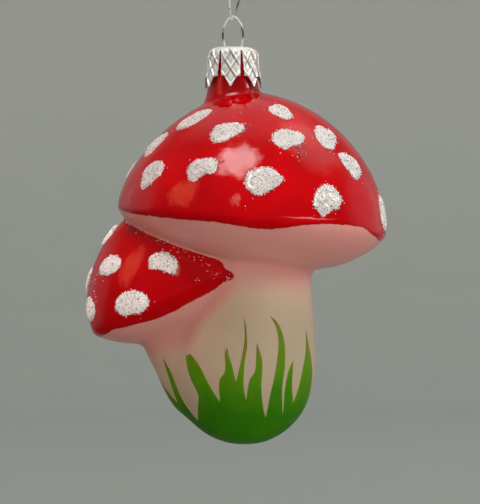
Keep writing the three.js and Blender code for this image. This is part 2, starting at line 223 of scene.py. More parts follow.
small_section = quarter(SMALL_RADIUS, SMALL_HEIGHT, SMALL_FULLNESS, steps=36)
small_reach = SMALL_RADIUS - SMALL_STALK
small_under = quarter(small_reach, SMALL_UNDER_DEPTH, SMALL_UNDER_FULLNESS, steps=16)
small_section += [(SMALL_STALK + x, -z) for x, z in small_under[::-1][1:]]
small_foot = quarter(SMALL_STALK, SMALL_FOOT, fullness=2, steps=14)[::-1]
small_section += [(x, SMALL_FOOT - SMALL_LENGTH - z) for x, z in small_foot]
small = turned("small_toadstool", small_section, steps=120)
settle(small, (0, 0, 0), scale=(1, SMALL_DEPTH_SHARE, 1))
settle(small, (SMALL_PLACE[0], 0, SMALL_PLACE[1] + CROWN_TOP / MM), (0, SMALL_LEAN, 0))
small_surface = surface_of(small)

start, pull, end = NECK_FLARE
neck_section = [(0, NECK_TOP), (NECK_RADIUS, NECK_TOP)]
for i in range(17):
    t = i / 16
    bend = [(1 - t) ** 2 * a + 2 * t * (1 - t) * b + t * t * c for a, b, c in zip(start, pull, end)]
    neck_section.append(tuple(bend))
neck_section += [(end[0] - 1, -NECK_ROOT), (0, -NECK_ROOT)]
neck = turned("neck", neck_section, steps=96)
settle(neck, (0, 0, CROWN_TOP / MM))
bore_section = [(x, NECK_BORE_TOP) for x in (0, NECK_BORE)]
bore_section += [(x, -NECK_BORE_DEPTH) for x in (NECK_BORE, 0)]
bore = turned("bore", bore_section, steps=64)
settle(bore, (0, 0, CROWN_TOP / MM))

combine(glass, stem, "UNION")
combine(glass, small, "UNION")
combine(glass, neck, "UNION")
combine(glass, bore, "DIFFERENCE")
mould = glass.copy()
mould.data = glass.data.copy()
bpy.context.scene.collection.objects.link(mould)
EVEN_GRID = 0.52
even = glass.modifiers.new("even", "REMESH")
even.mode = "VOXEL"
even.voxel_size = EVEN_GRID * MM
finish_modifier(glass, even)
wrap = glass.modifiers.new("wrap", "SHRINKWRAP")
wrap.target = mould
finish_modifier(glass, wrap)
bpy.data.objects.remove(mould)


def distance_to(tree, points):
    """How far each point is from a surface, in mm."""
    return np.array([tree.find_nearest(Vector(p))[3] for p in points]) / MM


def near(gap, width):
    """One where a gap is nothing, falling away smoothly over a width."""
    return np.exp(-(gap / width) ** 2)


def soften(piece, name, weights, rounds):
    """Rounds off a piece where its weights say so, as hot glass draws itself smooth."""
    group = piece.vertex_groups.new(name=name)
    for i, weight in enumerate(weights):
        if weight > 0.01:
            group.add([i], float(weight), "REPLACE")
    smooth = piece.modifiers.new(name, "SMOOTH")
    smooth.factor = 0.5
    smooth.iterations = rounds
    smooth.vertex_group = name
    finish_modifier(piece, smooth)
    piece.vertex_groups.remove(piece.vertex_groups[name])


# The cap's underside runs into the stem in a wide curve; the other creases stay tight. The bands
# are depths below the crown's top over which a crease comes in, in mm.
UNDERSIDE_BAND = (46, 50)
SMALL_UNDERSIDE_BAND = (60, 66)
FOOT_BEND_BAND = (77, 82)
NECK_ROOT_DEPTH = 12.8
NECK_ROOT_REACH = (16, 12)
NECK_RIM_BAND = (3.4, 1.9)
SMALL_TIP = (1.2, -16.3, -57.9)
places = points_of(glass)
from_cap = distance_to(cap_surface, places)
from_stem = distance_to(stem_surface, places)
from_small = distance_to(small_surface, places)
depth = (CROWN_TOP - places[:, 2]) / MM
under_cap = near(from_cap - from_stem, 5) * near(np.minimum(from_cap, from_stem), 3)
under_cap *= smoothstep(depth, *UNDERSIDE_BAND) * smoothstep(from_small, 0.5, 4)
soften(glass, "underside", np.clip(under_cap * 1.5, 0, 1), rounds=90)
under_small = near(from_small - from_stem, 4) * smoothstep(depth, *SMALL_UNDERSIDE_BAND)
soften(glass, "small_underside", np.clip(under_small, 0, 1), rounds=50)
foot_bend = near(from_small - from_stem, 5) * smoothstep(depth, *FOOT_BEND_BAND)
soften(glass, "foot_bend", np.clip(foot_bend, 0, 1), rounds=120)
small_middle = np.array([SMALL_PLACE[0] * MM, 0, SMALL_PLACE[1] * MM + CROWN_TOP])
upright = np.array(Matrix.Rotation(math.radians(-SMALL_LEAN), 3, "Y"))
own = (places - small_middle) @ upright.T / MM
own_reach = np.hypot(own[:, 0], own[:, 1] / SMALL_DEPTH_SHARE)
stalk_bend = near(own_reach - SMALL_STALK, 4) * near(own[:, 2] + SMALL_UNDER_DEPTH, 4)
soften(glass, "stalk_bend", stalk_bend, rounds=60)
from_tip = np.linalg.norm(places / MM - np.array(SMALL_TIP) - (0, 0, CROWN_TOP / MM), axis=1)
soften(glass, "tip", near(from_tip, 5), rounds=30)
from_axis = np.hypot(places[:, 0], places[:, 1]) / MM
neck_root = near(depth - NECK_ROOT_DEPTH, 2.4) * smoothstep(from_axis, *NECK_ROOT_REACH)
soften(glass, "neck_root", neck_root, rounds=70)
neck_rim = 1 - 0.9 * smoothstep(depth, *NECK_RIM_BAND)
soften(glass, "creases", neck_rim, rounds=5)

# Hand blowing leaves the wall a little uneven, so reflections wander.
places = points_of(glass)
normals = np.empty(len(glass.data.vertices) * 3)
glass.data.vertices.foreach_get("normal", normals)
normals = normals.reshape(-1, 3)
WAVES = ((0.16, 13.0), (0.045, 5.0))
WAVES_BAND = (12, 20)
swell = np.zeros(len(places))
for height, length in WAVES:
    swell += [height * noise.noise(Vector(p) / (length * MM)) for p in places]
swell *= smoothstep((CROWN_TOP - places[:, 2]) / MM, *WAVES_BAND) * MM
places = places + normals * swell[:, None]
put_points(glass, places)

# Paint lines: how far each point lies inside the red lacquer, in mm. Each row of a line is a
# bearing round its cap from the front, in degrees, and how far the red stops above the rim.
RED_LINE = [
    (-180, -1.2), (-150, -0.8), (-115, -1.5), (-95, -0.9), (-80, -0.6), (-64, -1.6), (-50, -1.8),
    (-30, -2.0), (-16, -1.8), (-5, -2.2), (3, -2.4), (8, -2.2), (13, -1.6), (22, -0.4), (32, 0.4),
    (43, 0.7), (53, 0.6), (61, -0.7), (74, -2.1), (95, -1.8), (120, -0.9), (150, -1.7), (180, -1.2),
]
SMALL_RED_LINE = [
    (-180, -0.6), (-130, -0.9), (-100, -0.2), (-77, 0.0), (-63, 0.1), (-52, 0.2), (-41, -0.6),
    (-33, -1.1), (-22, -1.8), (-9, -1.9), (2, -1.6), (22, -1.2), (31, -1.6), (90, -1.5), (180, -0.6),
]
SMALL_DIP = 1.5
TIP_RUN = 2.2
RED_DOME = 30.0
RED_TOP = 25.0
WELL_INSIDE = 5.0
from_cap = distance_to(cap_surface, places)
from_stem = distance_to(stem_surface, places)
from_small = distance_to(small_surface, places)
depth = (CROWN_TOP - places[:, 2]) / MM
across = places[:, 0] / MM - CAP_PLACE[0]
bearing = np.degrees(np.arctan2(across, -places[:, 1] / MM))
rim = -CAP_PLACE[1] + CAP_DROOP * np.sin(np.radians(bearing))
line = np.interp(bearing, *zip(*RED_LINE))
large_red = rim - line - depth
large_red = np.where(depth < RED_DOME, np.maximum(large_red, 2), large_red)
large_red = np.minimum(large_red, np.minimum(from_small, from_stem) - from_cap + 1.0)
large_red = np.where(depth < RED_TOP, WELL_INSIDE, large_red)

own = (places - small_middle) @ upright.T / MM
own_bearing = np.degrees(np.arctan2(own[:, 0], -own[:, 1] / SMALL_DEPTH_SHARE))
small_line = np.interp(own_bearing, *zip(*SMALL_RED_LINE))
small_edge = np.minimum(from_cap, from_stem) - from_small - 0.1
small_red = np.minimum(own[:, 2] + SMALL_DIP - small_line, small_edge)
from_tip = np.linalg.norm(places / MM - np.array(SMALL_TIP) - (0, 0, CROWN_TOP / MM), axis=1)
small_red += TIP_RUN * near(from_tip, 3.2)
lacquer = np.maximum(large_red, small_red)
from_axis = np.hypot(places[:, 0], places[:, 1]) / MM
in_bore = (from_axis < NECK_BORE + 0.5) & (depth < NECK_BORE_DEPTH + 1)
lacquer = np.where(in_bore, -WELL_INSIDE, lacquer)
keep_value(glass, "lacquer", lacquer)

# The red dries with a thick edge, a tenth of a millimetre proud.
LACQUER_BODY = 0.12
lift = smoothstep(lacquer, -0.1, 0.5) * LACQUER_BODY * MM
put_points(glass, places + normals * lift[:, None])

# Pink airbrushed under both caps, fading into the cream of the stem.
BLUSH_FADE = 8.5
SMALL_BLUSH_END = -8
SMALL_BLUSH_FADE = 7.5
BLUSH_FALL = 1.5
NECK_SHADE_BAND = (14.5, 11)
under_large = from_cap < np.minimum(from_stem, from_small)
blush_cap = np.where(under_large, 1.0, np.exp(-(from_cap / BLUSH_FADE) ** BLUSH_FALL))
beyond = np.abs(own[:, 2] - SMALL_BLUSH_END)
blush_small = np.where(own[:, 2] > SMALL_BLUSH_END, 1.0, np.exp(-(beyond / SMALL_BLUSH_FADE) ** BLUSH_FALL))
blush_small *= near(np.minimum(from_small, 30), 5.0)
blush = np.clip(np.maximum(blush_cap, blush_small), 0, 1)
keep_value(glass, "blush", blush)
keep_value(glass, "bore", in_bore.astype(float))
# The neck under the crown is painted a deeper red: painted shade of the crown.
keep_value(glass, "neck", smoothstep(depth, *NECK_SHADE_BAND))


def paint(code):
    """An sRGB colour as the linear values that the shader wants."""
    parts = [int(code[i:i + 2], 16) / 255 for i in (1, 3, 5)]
    return tuple(c / 12.92 if c <= 0.04045 else ((c + 0.055) / 1.055) ** 2.4 for c in parts) + (1.0,)


def add(tree, kind, inputs=None, stops=(), **settings):
    """Adds one shader node with its settings, colour stops, values and links."""
    step = tree.nodes.new("ShaderNode" + kind)
    for name, value in settings.items():
        setattr(step, name, value)
    for i, (place, code) in enumerate(stops):
        if i in (0, len(stops) - 1):
            stop = step.color_ramp.elements[0 if i == 0 else -1]
            stop.position = place
        else:
            stop = step.color_ramp.elements.new(place)
        stop.color = paint(code)
    for socket, value in (inputs or {}).items():
        if isinstance(value, bpy.types.NodeSocket):
            tree.links.new(value, step.inputs[socket])
        else:
            step.inputs[socket].default_value = value
    return step


def new_material(name):
    """An empty material and the node tree in it."""
    material = bpy.data.materials.new(name)
    material.use_nodes = True
    material.node_tree.nodes.clear()
    return material, material.node_tree


def coat_with(piece, material):
    """Gives a piece one material all over."""
    piece.data.materials.clear()
    piece.data.materials.append(material)


def per_metre(size):
    """Texture scale that gives one wave of a noise for a size in mm."""
    return 1 / (size * MM)


# Lacquered glass: glossy red over satin cream and pink, so sharp reflections end at the paint line.
painted_glass, tree = new_material("lacquered_blown_glass")
spot = add(tree, "TexCoord").outputs["Object"]
brush = add(tree, "TexNoise", {"Vector": spot, "Scale": per_metre(1.6), "Detail": 3.0})
inside = add(tree, "Attribute", attribute_name="lacquer").outputs["Fac"]
wander = add(tree, "MapRange", {"Value": brush.outputs["Fac"], "To Min": -0.3, "To Max": 0.3})
edge = add(tree, "Math", {0: inside, 1: wander.outputs["Result"]}, operation="ADD").outputs[0]
red_share = add(tree, "MapRange", {"Value": edge, "From Min": -0.07, "From Max": 0.07},
                interpolation_type="SMOOTHSTEP").outputs["Result"]
pooled = add(tree, "TexNoise", {"Vector": spot, "Scale": per_metre(9), "Detail": 2.0})
reds = add(tree, "ValToRGB", {"Fac": pooled.outputs["Fac"]}, stops=((0.3, "#b20006"), (0.75, "#ca000a")))
bead = add(tree, "MapRange", {"Value": edge, "From Min": 0.0, "From Max": 0.9, "To Min": 0.55})
red = add(tree, "Mix", {0: bead.outputs["Result"], 6: paint("#860004"), 7: reds.outputs["Color"]},
          data_type="RGBA").outputs[2]
# Painted shade: the neck under the crown is mixed to a deeper red; its gloss is also made rougher.
neck_in_shade = add(tree, "Attribute", attribute_name="neck").outputs["Fac"]
red = add(tree, "Mix", {0: neck_in_shade, 6: red, 7: paint("#9a0008")}, data_type="RGBA").outputs[2]
haze = add(tree, "TexNoise", {"Vector": spot, "Scale": per_metre(4), "Detail": 5.0})
blush_at = add(tree, "Attribute", attribute_name="blush").outputs["Fac"]
drift = add(tree, "MapRange", {"Value": haze.outputs["Fac"], "To Min": -0.14, "To Max": 0.14})
sprayed = add(tree, "Math", {0: blush_at, 1: drift.outputs["Result"]}, operation="ADD").outputs[0]
pearl = add(tree, "ValToRGB", {"Fac": sprayed},
            stops=((0.05, "#b6a78e"), (0.45, "#c6ae98"), (0.95, "#da948e")))
coat = add(tree, "Mix", {0: red_share, 6: pearl.outputs["Color"], 7: red}, data_type="RGBA").outputs[2]
bare = add(tree, "Attribute", attribute_name="bore").outputs["Fac"]
colour = add(tree, "Mix", {0: bare, 6: coat, 7: paint("#8f9496")}, data_type="RGBA").outputs[2]
gloss = add(tree, "MapRange", {"Value": red_share, "To Min": 0.3, "To Max": 0.045}).outputs["Result"]
gloss = add(tree, "Math", {0: neck_in_shade, 1: 0.14, 2: gloss}, operation="MULTIPLY_ADD").outputs[0]
peel = add(tree, "TexNoise", {"Vector": spot, "Scale": per_metre(3.2), "Detail": 2.0})
skin = add(tree, "Bump", {"Height": peel.outputs["Fac"], "Strength": 0.35, "Distance": 0.12 * MM})
shader = add(tree, "BsdfPrincipled", {
    "Base Color": colour, "Roughness": gloss, "Normal": skin.outputs["Normal"], "IOR": 1.4,
})
add(tree, "OutputMaterial", {"Surface": shader.outputs["BSDF"]})
coat_with(glass, painted_glass)
select_only(glass)
bpy.ops.object.shade_smooth()
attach(glass, "glass")
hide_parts("glass_body")
glass_surface = surface_of(glass)


# PAINTED GRASS
# Blades of green enamel drawn with a full brush up from the foot of the stem. They join in one
# solid green foot; the thin ends of the strokes dry yellow and brown.

# One row for each blade in front, as (bearing, depth): the notch on its left, its left edge, its
# tip and its right edge. The next row's notch ends it.
FRONT_BLADES = [
    [(-74, 88), (-73, 82.5), (-75.5, 75.8), (-69, 80.5), (-64.5, 87.5)],
    [(-56, 92.8), (-43.5, 88.5), (-40.2, 86), (-47.4, 81), (-49.2, 78.5), (-50.3, 75.8), (-48.2, 76.5),
     (-45.6, 75.9), (-36.2, 78.5), (-27.5, 83.5)],
    [(-20, 87.5), (-18.5, 82), (-14, 80), (-14.3, 73.9), (-13.3, 75.7), (-12.4, 74.2), (-11, 76),
     (-8.5, 78.5)],
    [(-5.5, 82.5), (-2, 78), (0.2, 74.4), (1.3, 71.5), (1, 69), (0.6, 66.6), (1.9, 68.4), (2.9, 71),
     (3, 74), (1.6, 76.8), (0.6, 80), (0.5, 84)],
    [(2.5, 87), (5, 82), (9, 80), (10, 75.5), (10.5, 73), (14.5, 77), (14.5, 83.5), (18, 89)],
    [(22.5, 91.5), (22.5, 86), (26, 79), (28.5, 72), (26.5, 69), (22, 66.5), (29, 68.5), (33.5, 72.5),
     (34, 77), (33, 84.5)],
    [(41, 91), (35.5, 84), (38, 79.5), (42, 77.5), (42.5, 83.5)],
    [(49, 88), (53, 80.5), (58.5, 74), (59.5, 70), (65.5, 76), (71, 80.5), (74, 84), (79, 87.5)],
]
# The back is drawn with the same strokes, tall and short by turns.
BACK_FROM = 89.0
BACK_TO = 277.0
BACK_COUNT = 14
BACK_NOTCH = 90
BACK_EDGE = 82
BACK_TIP = 72
blades = list(FRONT_BLADES)
for i in range(BACK_COUNT):
    pitch = (BACK_TO - BACK_FROM) / BACK_COUNT
    begin = BACK_FROM + i * pitch
    notch = (begin, BACK_NOTCH + 1.2 * math.sin(2.9 * i))
    tip = (begin + pitch * (0.5 + 0.4 * math.sin(1.9 * i)), BACK_TIP + 6 * math.cos(2.4 * i))
    blades.append([notch, (begin + pitch * 0.26, BACK_EDGE), tip, (begin + pitch * 0.74, BACK_EDGE)])
GRASS_BODY = 0.07
GRASS_SINK = 0.05
FOOT_STEPS = 800
foot_depths = [STEM_BOTTOM - (STEM_BOTTOM - STEM_TOP) * i / FOOT_STEPS for i in range(FOOT_STEPS + 1)]
foot_reach = [0.0]
for upper, lower in zip(foot_depths[1:], foot_depths):
    run = math.hypot(stem_radius(upper) - stem_radius(lower), upper - lower)
    foot_reach.append(foot_reach[-1] + run)


def unrolled(bearing_at, depth_at):
    """A spot on the stem laid flat: its way from the foot, out along its bearing, in mm."""
    foot_heights = [STEM_BOTTOM - d for d in foot_depths]
    reach = float(np.interp(STEM_BOTTOM - depth_at, foot_heights, foot_reach))
    angle = math.radians(bearing_at)
    return reach * math.sin(angle), -reach * math.cos(angle)


def flowing(points, steps):
    """A smooth line through points, spaced by the root of their distance."""
    points = [Vector(p) for p in points]
    points = [2 * points[0] - points[1]] + points + [2 * points[-1] - points[-2]]
    line_points = []
    for p0, p1, p2, p3 in zip(points, points[1:], points[2:], points[3:]):
        d0, d1, d2 = (max(1e-6, (b - a).length ** 0.5) for a, b in ((p0, p1), (p1, p2), (p2, p3)))
        t1 = ((p1 - p0) / d0 - (p2 - p0) / (d0 + d1) + (p2 - p1) / d1) * d1
        t2 = ((p2 - p1) / d1 - (p3 - p1) / (d1 + d2) + (p3 - p2) / d2) * d1
        for i in range(steps):
            t = i / steps
            line_points.append(p1 * (2 * t ** 3 - 3 * t ** 2 + 1) + t1 * (t ** 3 - 2 * t ** 2 + t)
                               + p2 * (3 * t ** 2 - 2 * t ** 3) + t2 * (t ** 3 - t ** 2))
    return line_points + [points[-2]]


# The outline is drawn flat, like a sun with the foot in its middle, one unit to the millimetre.
# It is cut from a thin sheet, which is then laid on the stem.
FLAT_SHEET = 110
FLAT_CELLS = 130
FILM = 0.2
flat_line = []
for blade, following in zip(blades, blades[1:] + blades[:1]):
    tip_at = min(range(len(blade)), key=lambda n: blade[n][1])
    for edge in (blade[:tip_at + 1], blade[tip_at:] + following[:1]):
        flat_line += [tuple(p) for p in flowing([unrolled(*p) for p in edge], 4)[:-1]]
flat_line = np.array(flat_line)

bpy.ops.object.select_all(action="DESELECT")
bpy.ops.mesh.primitive_circle_add(vertices=len(flat_line), radius=10, fill_type="NGON")
cutter = bpy.context.object
put_points(cutter, np.column_stack([flat_line, np.zeros(len(flat_line))]))
bpy.ops.object.mode_set(mode="EDIT")
bpy.ops.mesh.select_all(action="SELECT")
bpy.ops.mesh.extrude_region_move(TRANSFORM_OT_translate={"value": (0, 0, 2)})
bpy.ops.mesh.select_all(action="SELECT")
bpy.ops.mesh.normals_make_consistent(inside=False)
bpy.ops.object.mode_set(mode="OBJECT")
cutter.location = (0, 0, -1)
bpy.ops.object.transform_apply(location=True)

bpy.ops.object.select_all(action="DESELECT")
bpy.ops.mesh.primitive_grid_add(x_subdivisions=FLAT_CELLS, y_subdivisions=FLAT_CELLS, size=FLAT_SHEET)
grass = bpy.context.object
grass.name = "painted_grass"
film = grass.modifiers.new("film", "SOLIDIFY")
film.thickness = FILM
film.offset = 0
finish_modifier(grass, film)
combine(grass, cutter, "INTERSECT")

flat = points_of(grass)
gaps = np.full(len(flat), 1e9)
for (ax, ay), (bx, by) in zip(flat_line, np.roll(flat_line, -1, axis=0)):
    run = np.array([bx - ax, by - ay])
    share = np.clip(((flat[:, :2] - (ax, ay)) @ run) / max(1e-9, run @ run), 0, 1)
    gaps = np.minimum(gaps, np.linalg.norm(flat[:, :2] - (ax, ay) - share[:, None] * run, axis=1))
laid = []
heights = []
for (x, y, z), gap in zip(flat, gaps):
    reach = math.hypot(x, y)
    at_depth = float(np.interp(reach, foot_reach, foot_depths))
    angle = math.atan2(x, -y)
    radius = stem_radius(at_depth)
    guess = Vector(((STEM_PLACE + radius * math.sin(angle)) * MM, -radius * math.cos(angle) * MM,
                    CROWN_TOP - at_depth * MM))
    touch, outward, _, _ = glass_surface.find_nearest(guess)
    body = GRASS_BODY * (0.4 + 0.6 * min(1.0, gap / 0.5)) if z > 0 else -GRASS_SINK
    laid.append(touch + outward * body * MM)
    heights.append(at_depth)
put_points(grass, np.array([tuple(p) for p in laid]))
keep_value(grass, "stroke", np.minimum(gaps, 4))
keep_value(grass, "height", STEM_BOTTOM - np.array(heights))
select_only(grass)
bpy.ops.object.shade_smooth_by_angle(angle=math.radians(40))

# Grass enamel: deep green where the brush left a full coat, yellow to brown where it ran thin.
enamel, tree = new_material("brushed_green_enamel")
spot = add(tree, "TexCoord").outputs["Object"]
full = add(tree, "Attribute", attribute_name="stroke").outputs["Fac"]
rise = add(tree, "Attribute", attribute_name="height").outputs["Fac"]
streak_at = add(tree, "Mapping", {"Vector": spot, "Scale": (1, 1, 0.12)}).outputs["Vector"]
streak = add(tree, "TexNoise", {"Vector": streak_at, "Scale": per_metre(1.1), "Detail": 3.0})
clump = add(tree, "TexNoise", {"Vector": spot, "Scale": per_metre(6), "Detail": 1.0})
thick = add(tree, "MapRange", {"Value": full, "From Max": 0.5}).outputs["Result"]
low = add(tree, "MapRange", {"Value": rise, "From Min": 26.0, "From Max": 8.0}).outputs["Result"]
patchy = add(tree, "MapRange", {"Value": clump.outputs["Fac"], "To Min": -0.3, "To Max": 0.3})
coat = add(tree, "Math", {0: thick, 1: 0.3}, operation="MULTIPLY").outputs[0]
coat = add(tree, "Math", {0: low, 1: 0.7, 2: coat}, operation="MULTIPLY_ADD").outputs[0]
coat = add(tree, "Math", {0: coat, 1: patchy.outputs["Result"]}, operation="ADD").outputs[0]
fine = add(tree, "MapRange", {"Value": streak.outputs["Fac"], "To Min": -0.12, "To Max": 0.12})
coat = add(tree, "Math", {0: coat, 1: fine.outputs["Result"]}, operation="ADD").outputs[0]
greens = add(tree, "ValToRGB", {"Fac": coat},
             stops=((0.0, "#6a5a1e"), (0.2, "#6f800a"), (0.55, "#548904"), (1.0, "#2f7802")))
shader = add(tree, "BsdfPrincipled", {"Base Color": greens.outputs["Color"], "Roughness": 0.4, "IOR": 1.2})
add(tree, "OutputMaterial", {"Surface": shader.outputs["BSDF"]})
coat_with(grass, enamel)
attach(grass, "glass")


# GLITTER SPOTS
# Crushed glass strewn on wet glue: low white cushions with ragged sides, one for each spot of the
# toadstools, and loose grains that stuck where the glue was smeared.
GLITTER_BODY = 0.62
GRAIN = (0.26, 0.5)
LOOSE_GRAIN = (0.2, 0.38)
STRAY_GRAIN = (0.2, 0.36)
LOOSE_RISE = 0.08
GRAINS_PER_MM2 = 8.5
EDGE_GRAINS = 2
EDGE_RISE = 0.12
EDGE_SPREAD = (-0.25, 0.22)
STRAY_CHANCE = 0.06
STRAY_REACH = (0.4, 1.6)
CUSHION_SHADE = 0.2
CUSHION_SHARE = 0.75
EDGE_STEPS = 54
OVAL_STEPS = 18
GLUE_SINK = 0.05

# Each row is a spot: its bearing round the cap and its climb above the rim in degrees, its length,
# width and turn, and how far its lower side is dented.
LARGE_SPOTS = [
    [-48, 52, 9.3, 6, 51, 0.15], [-68, 37.5, 8, 5.5, 60, 0], [-96, 24, 7, 6, 20, 0],
    [-52, 21, 9, 6.5, 54, 0.3], [-16, 44, 9, 6.2, 33, 0], [-24, 24, 9, 6.2, 28, 0.3],
    [4, 20, 9.2, 7.2, 18, 0.1], [24, 58, 7.5, 5, -58, 0], [20, 40, 9, 6.2, 8, 0.15],
    [48, 42, 8.6, 6, 50, 0], [56, 28, 8, 5.4, -60, 0.2], [33, 12, 8.7, 7.2, 40, 0.3],
    [77, 9, 6.8, 5, 85, 0], [103, 30, 9, 6, 40, 0], [118, 14, 9, 6.5, 20, 0.25],
    [130, 44, 9, 6, -40, 0], [150, 24, 9.5, 6.5, 60, 0], [170, 55, 8, 5.5, 20, 0],
    [178, 14, 9, 7, 10, 0.3], [197, 36, 9.5, 6, 35, 0], [218, 18, 9.5, 6.5, -30, 0],
    [232, 45, 8.5, 6, 60, 0], [250, 23, 9, 6, 30, 0.2],
]
SMALL_SPOTS = [
    [-84, 62, 6.5, 5, 60, 0], [-44, 38, 8.2, 5, 5, 0], [-2, 23, 8.3, 5.4, -42, 0.1],
    [-92, 35, 6, 5, 80, 0], [-72, 16.5, 5.6, 5.4, 70, 0], [-30, 8.5, 9.4, 6.2, -12, 0],
    [-128, 42, 8, 5.5, 40, 0], [-122, 14, 8.5, 6, 10, 0.2], [-160, 24, 8.5, 6, 30, 0],
]
# Spots that were pressed out of their oval, round from the right, in mm.
LARGE_OUTLINES = {
    4: [(3.5, 0), (2, -1.5), (1, -3), (-1.5, -4.5), (-3, -1), (-3.5, 1.5), (-1.5, 3.5), (0.5, 4), (3, 3)],
    5: [(4, 0), (2, -2), (0.5, -3.5), (-2, -4), (-3.5, -2), (-3, 1.5), (-0.5, 2.5), (2, 3), (4, 2)],
    6: [(4, 0.5), (3.5, -1), (1, -1.5), (-1, -3.5), (-2.5, -3), (-3.5, 0), (-2.5, 2), (0, 3), (2.5, 3),
        (3.5, 2)],
    7: [(5, 0), (2.5, -2.5), (-0.5, -4), (-2, -4), (-4, -2), (-3.5, 1), (-1.5, 2.5), (2, 3), (4, 1.5)],
    8: [(2.5, -0.5), (2.5, -2.5), (0, -4), (-1.5, -2.5), (-2.5, -0.5), (-2, 1.5), (-0.5, 2.5), (1, 3),
        (2.5, 1)],
    9: [(4.5, 0.5), (3, -1.5), (0.5, -2.5), (-1.5, -3.5), (-3, -2.5), (-4, 0), (-2, 2.5), (0.5, 3),
        (1.5, 2.5), (4, 2)],
    10: [(4, 0), (1.5, -2.5), (-0.5, -4), (-3, -3.5), (-3.5, -1), (-3, 1), (-1, 3), (1, 3.5), (3, 2.5),
         (4, 2)],
    11: [(3.5, 0.5), (3, -1.5), (1, -3), (-1.5, -3.5), (-2.5, -1.5), (-3.5, 1), (-3, 3), (0, 3), (2.5, 2)],
    12: [(4.5, 0.5), (3, -1.5), (1, -2), (-1.5, -3.5), (-3.5, -2), (-4, -1), (-2.5, 2), (0, 3.5), (2.5, 3)],
}
SMALL_OUTLINES = {
    2: [(3.5, -1.5), (2, -2.5), (-0.5, -2.5), (-2, -2), (-3.5, -1), (-3.5, 0.5), (-1.5, 2), (1, 2),
        (3.5, 0.5)],
    3: [(3, -1.5), (1.5, -3.5), (-0.5, -2), (-2, -0.5), (-3.5, 0.5), (-2.5, 3), (-0.5, 3), (1.5, 2.5),
        (3, 0)],
    6: [(4.5, -1.5), (2, -3), (-0.5, -2.5), (-3, -2), (-4.5, 0.5), (-3, 2.5), (-0.5, 3), (2, 2.5), (4, 1)],
}


def spot_frame(bearing_at, climb, radius, share_deep, height, fullness):
    """Middle of a spot on a dome, and its directions across, up the slope and outwards."""
    def place(share, turn):
        angle = share * math.pi / 2
        out = radius * max(0.0, math.sin(angle)) ** (2 / fullness)
        up = height * max(0.0, math.cos(angle)) ** (2 / fullness)
        return Vector((out * math.sin(turn), -out * math.cos(turn) * share_deep, up))
    share = 1 - climb / 90
    turn = math.radians(bearing_at)
    centre = place(share, turn)
    up_slope = (place(share - 0.01, turn) - centre).normalized()
    sideways = (place(share, turn + 0.01) - centre).normalized()
    outward = sideways.cross(up_slope).normalized()
    return centre, sideways, outward.cross(sideways).normalized(), outward


def spot_oval(length, width, turn, dent, phase):
    """An oval outline with a slight wave and a dent in its lower side, in mm."""
    outline = []
    for i in range(OVAL_STEPS):
        angle = i / OVAL_STEPS * 2 * math.pi
        bite = dent * max(0.0, 1 - 4 * math.sin(angle / 2 + math.pi / 4) ** 2)
        swell_here = 1 + 0.06 * math.sin(3 * angle + phase) - bite
        x = length / 2 * math.cos(angle) * swell_here
        y = width / 2 * math.sin(angle) * swell_here
        c, s = math.cos(math.radians(turn)), math.sin(math.radians(turn))
        outline.append((x * c - y * s, x * s + y * c))
    return outline


def droop_of(point):
    """Where a point of the even large dome goes when its rim hangs lower on the right."""
    below_top = min(1.0, max(0.0, (CAP_HEIGHT - point.z) / CAP_HEIGHT)) ** 3
    return Vector((point.x, point.y, point.z - CAP_DROOP * below_top * point.x / CAP_RADIUS))


def on_large(point):
    """Takes a point of the even large dome, in mm, to its place on the ornament."""
    return (droop_of(point) + Vector((CAP_PLACE[0], 0, CAP_PLACE[1]))) * MM + Vector((0, 0, CROWN_TOP))


def on_small(point):
    """Takes a point of the upright small dome, in mm, to its place on the ornament."""
    turned_point = Matrix.Rotation(math.radians(SMALL_LEAN), 3, "Y") @ point
    return (turned_point + Vector((SMALL_PLACE[0], 0, SMALL_PLACE[1]))) * MM + Vector((0, 0, CROWN_TOP))


# One grain is a broken chip: a squashed, uneven double pyramid.
bpy.ops.object.select_all(action="DESELECT")
bpy.ops.mesh.primitive_cone_add(vertices=4, radius1=0.5, depth=0.5, end_fill_type="NOTHING",
                                location=(0, 0, 0.25))
chip = bpy.context.object
bpy.ops.object.mode_set(mode="EDIT")
bpy.ops.mesh.select_all(action="DESELECT")
bpy.ops.mesh.select_non_manifold()
bpy.ops.mesh.extrude_region_move(TRANSFORM_OT_translate={"value": (0.05, 0.03, -0.35)})
bpy.ops.mesh.merge(type="CENTER")
bpy.ops.mesh.select_all(action="SELECT")
bpy.ops.mesh.normals_make_consistent(inside=False)
bpy.ops.object.mode_set(mode="OBJECT")
bpy.ops.object.transform_apply(location=True)
chip_points = points_of(chip)
chip_faces = [tuple(p.vertices) for p in chip.data.polygons]
bpy.data.objects.remove(chip)

GRAIN_TILT = 0.55
chance = random.Random(7)


def strewn(spots):
    """Corners, faces and shades of grains that lie at the given places, normals and sizes."""
    corners, faces, shades = [], [], []
    for place, outward, size in spots:
        tilt = Vector([chance.gauss(0, GRAIN_TILT) for _ in range(3)])
        upright = (outward + tilt).normalized().to_track_quat("Z", "Y").to_matrix()
        spin = Matrix.Rotation(chance.uniform(0, 6.28), 3, "Z")
        squash = Matrix.Diagonal([chance.uniform(low, 1.2) for low in (0.7, 0.7, 0.6)])
        form = np.array(upright @ spin @ squash)
        start = len(corners)
        corners.extend(chip_points @ form.T * size * MM + np.array(place))
        faces.extend(tuple(start + i for i in face) for face in chip_faces)
        shades.extend([chance.random()] * len(chip_points))
    return corners, faces, shades


def on_glass(place, outward):
    """The spot on the glass under a place, and the glass's normal there."""
    hit, normal, _, _ = glass_surface.ray_cast(place + outward * 4 * MM, -outward, 9 * MM)
    if hit is None:
        hit, normal, _, _ = glass_surface.find_nearest(place)
    return hit, normal


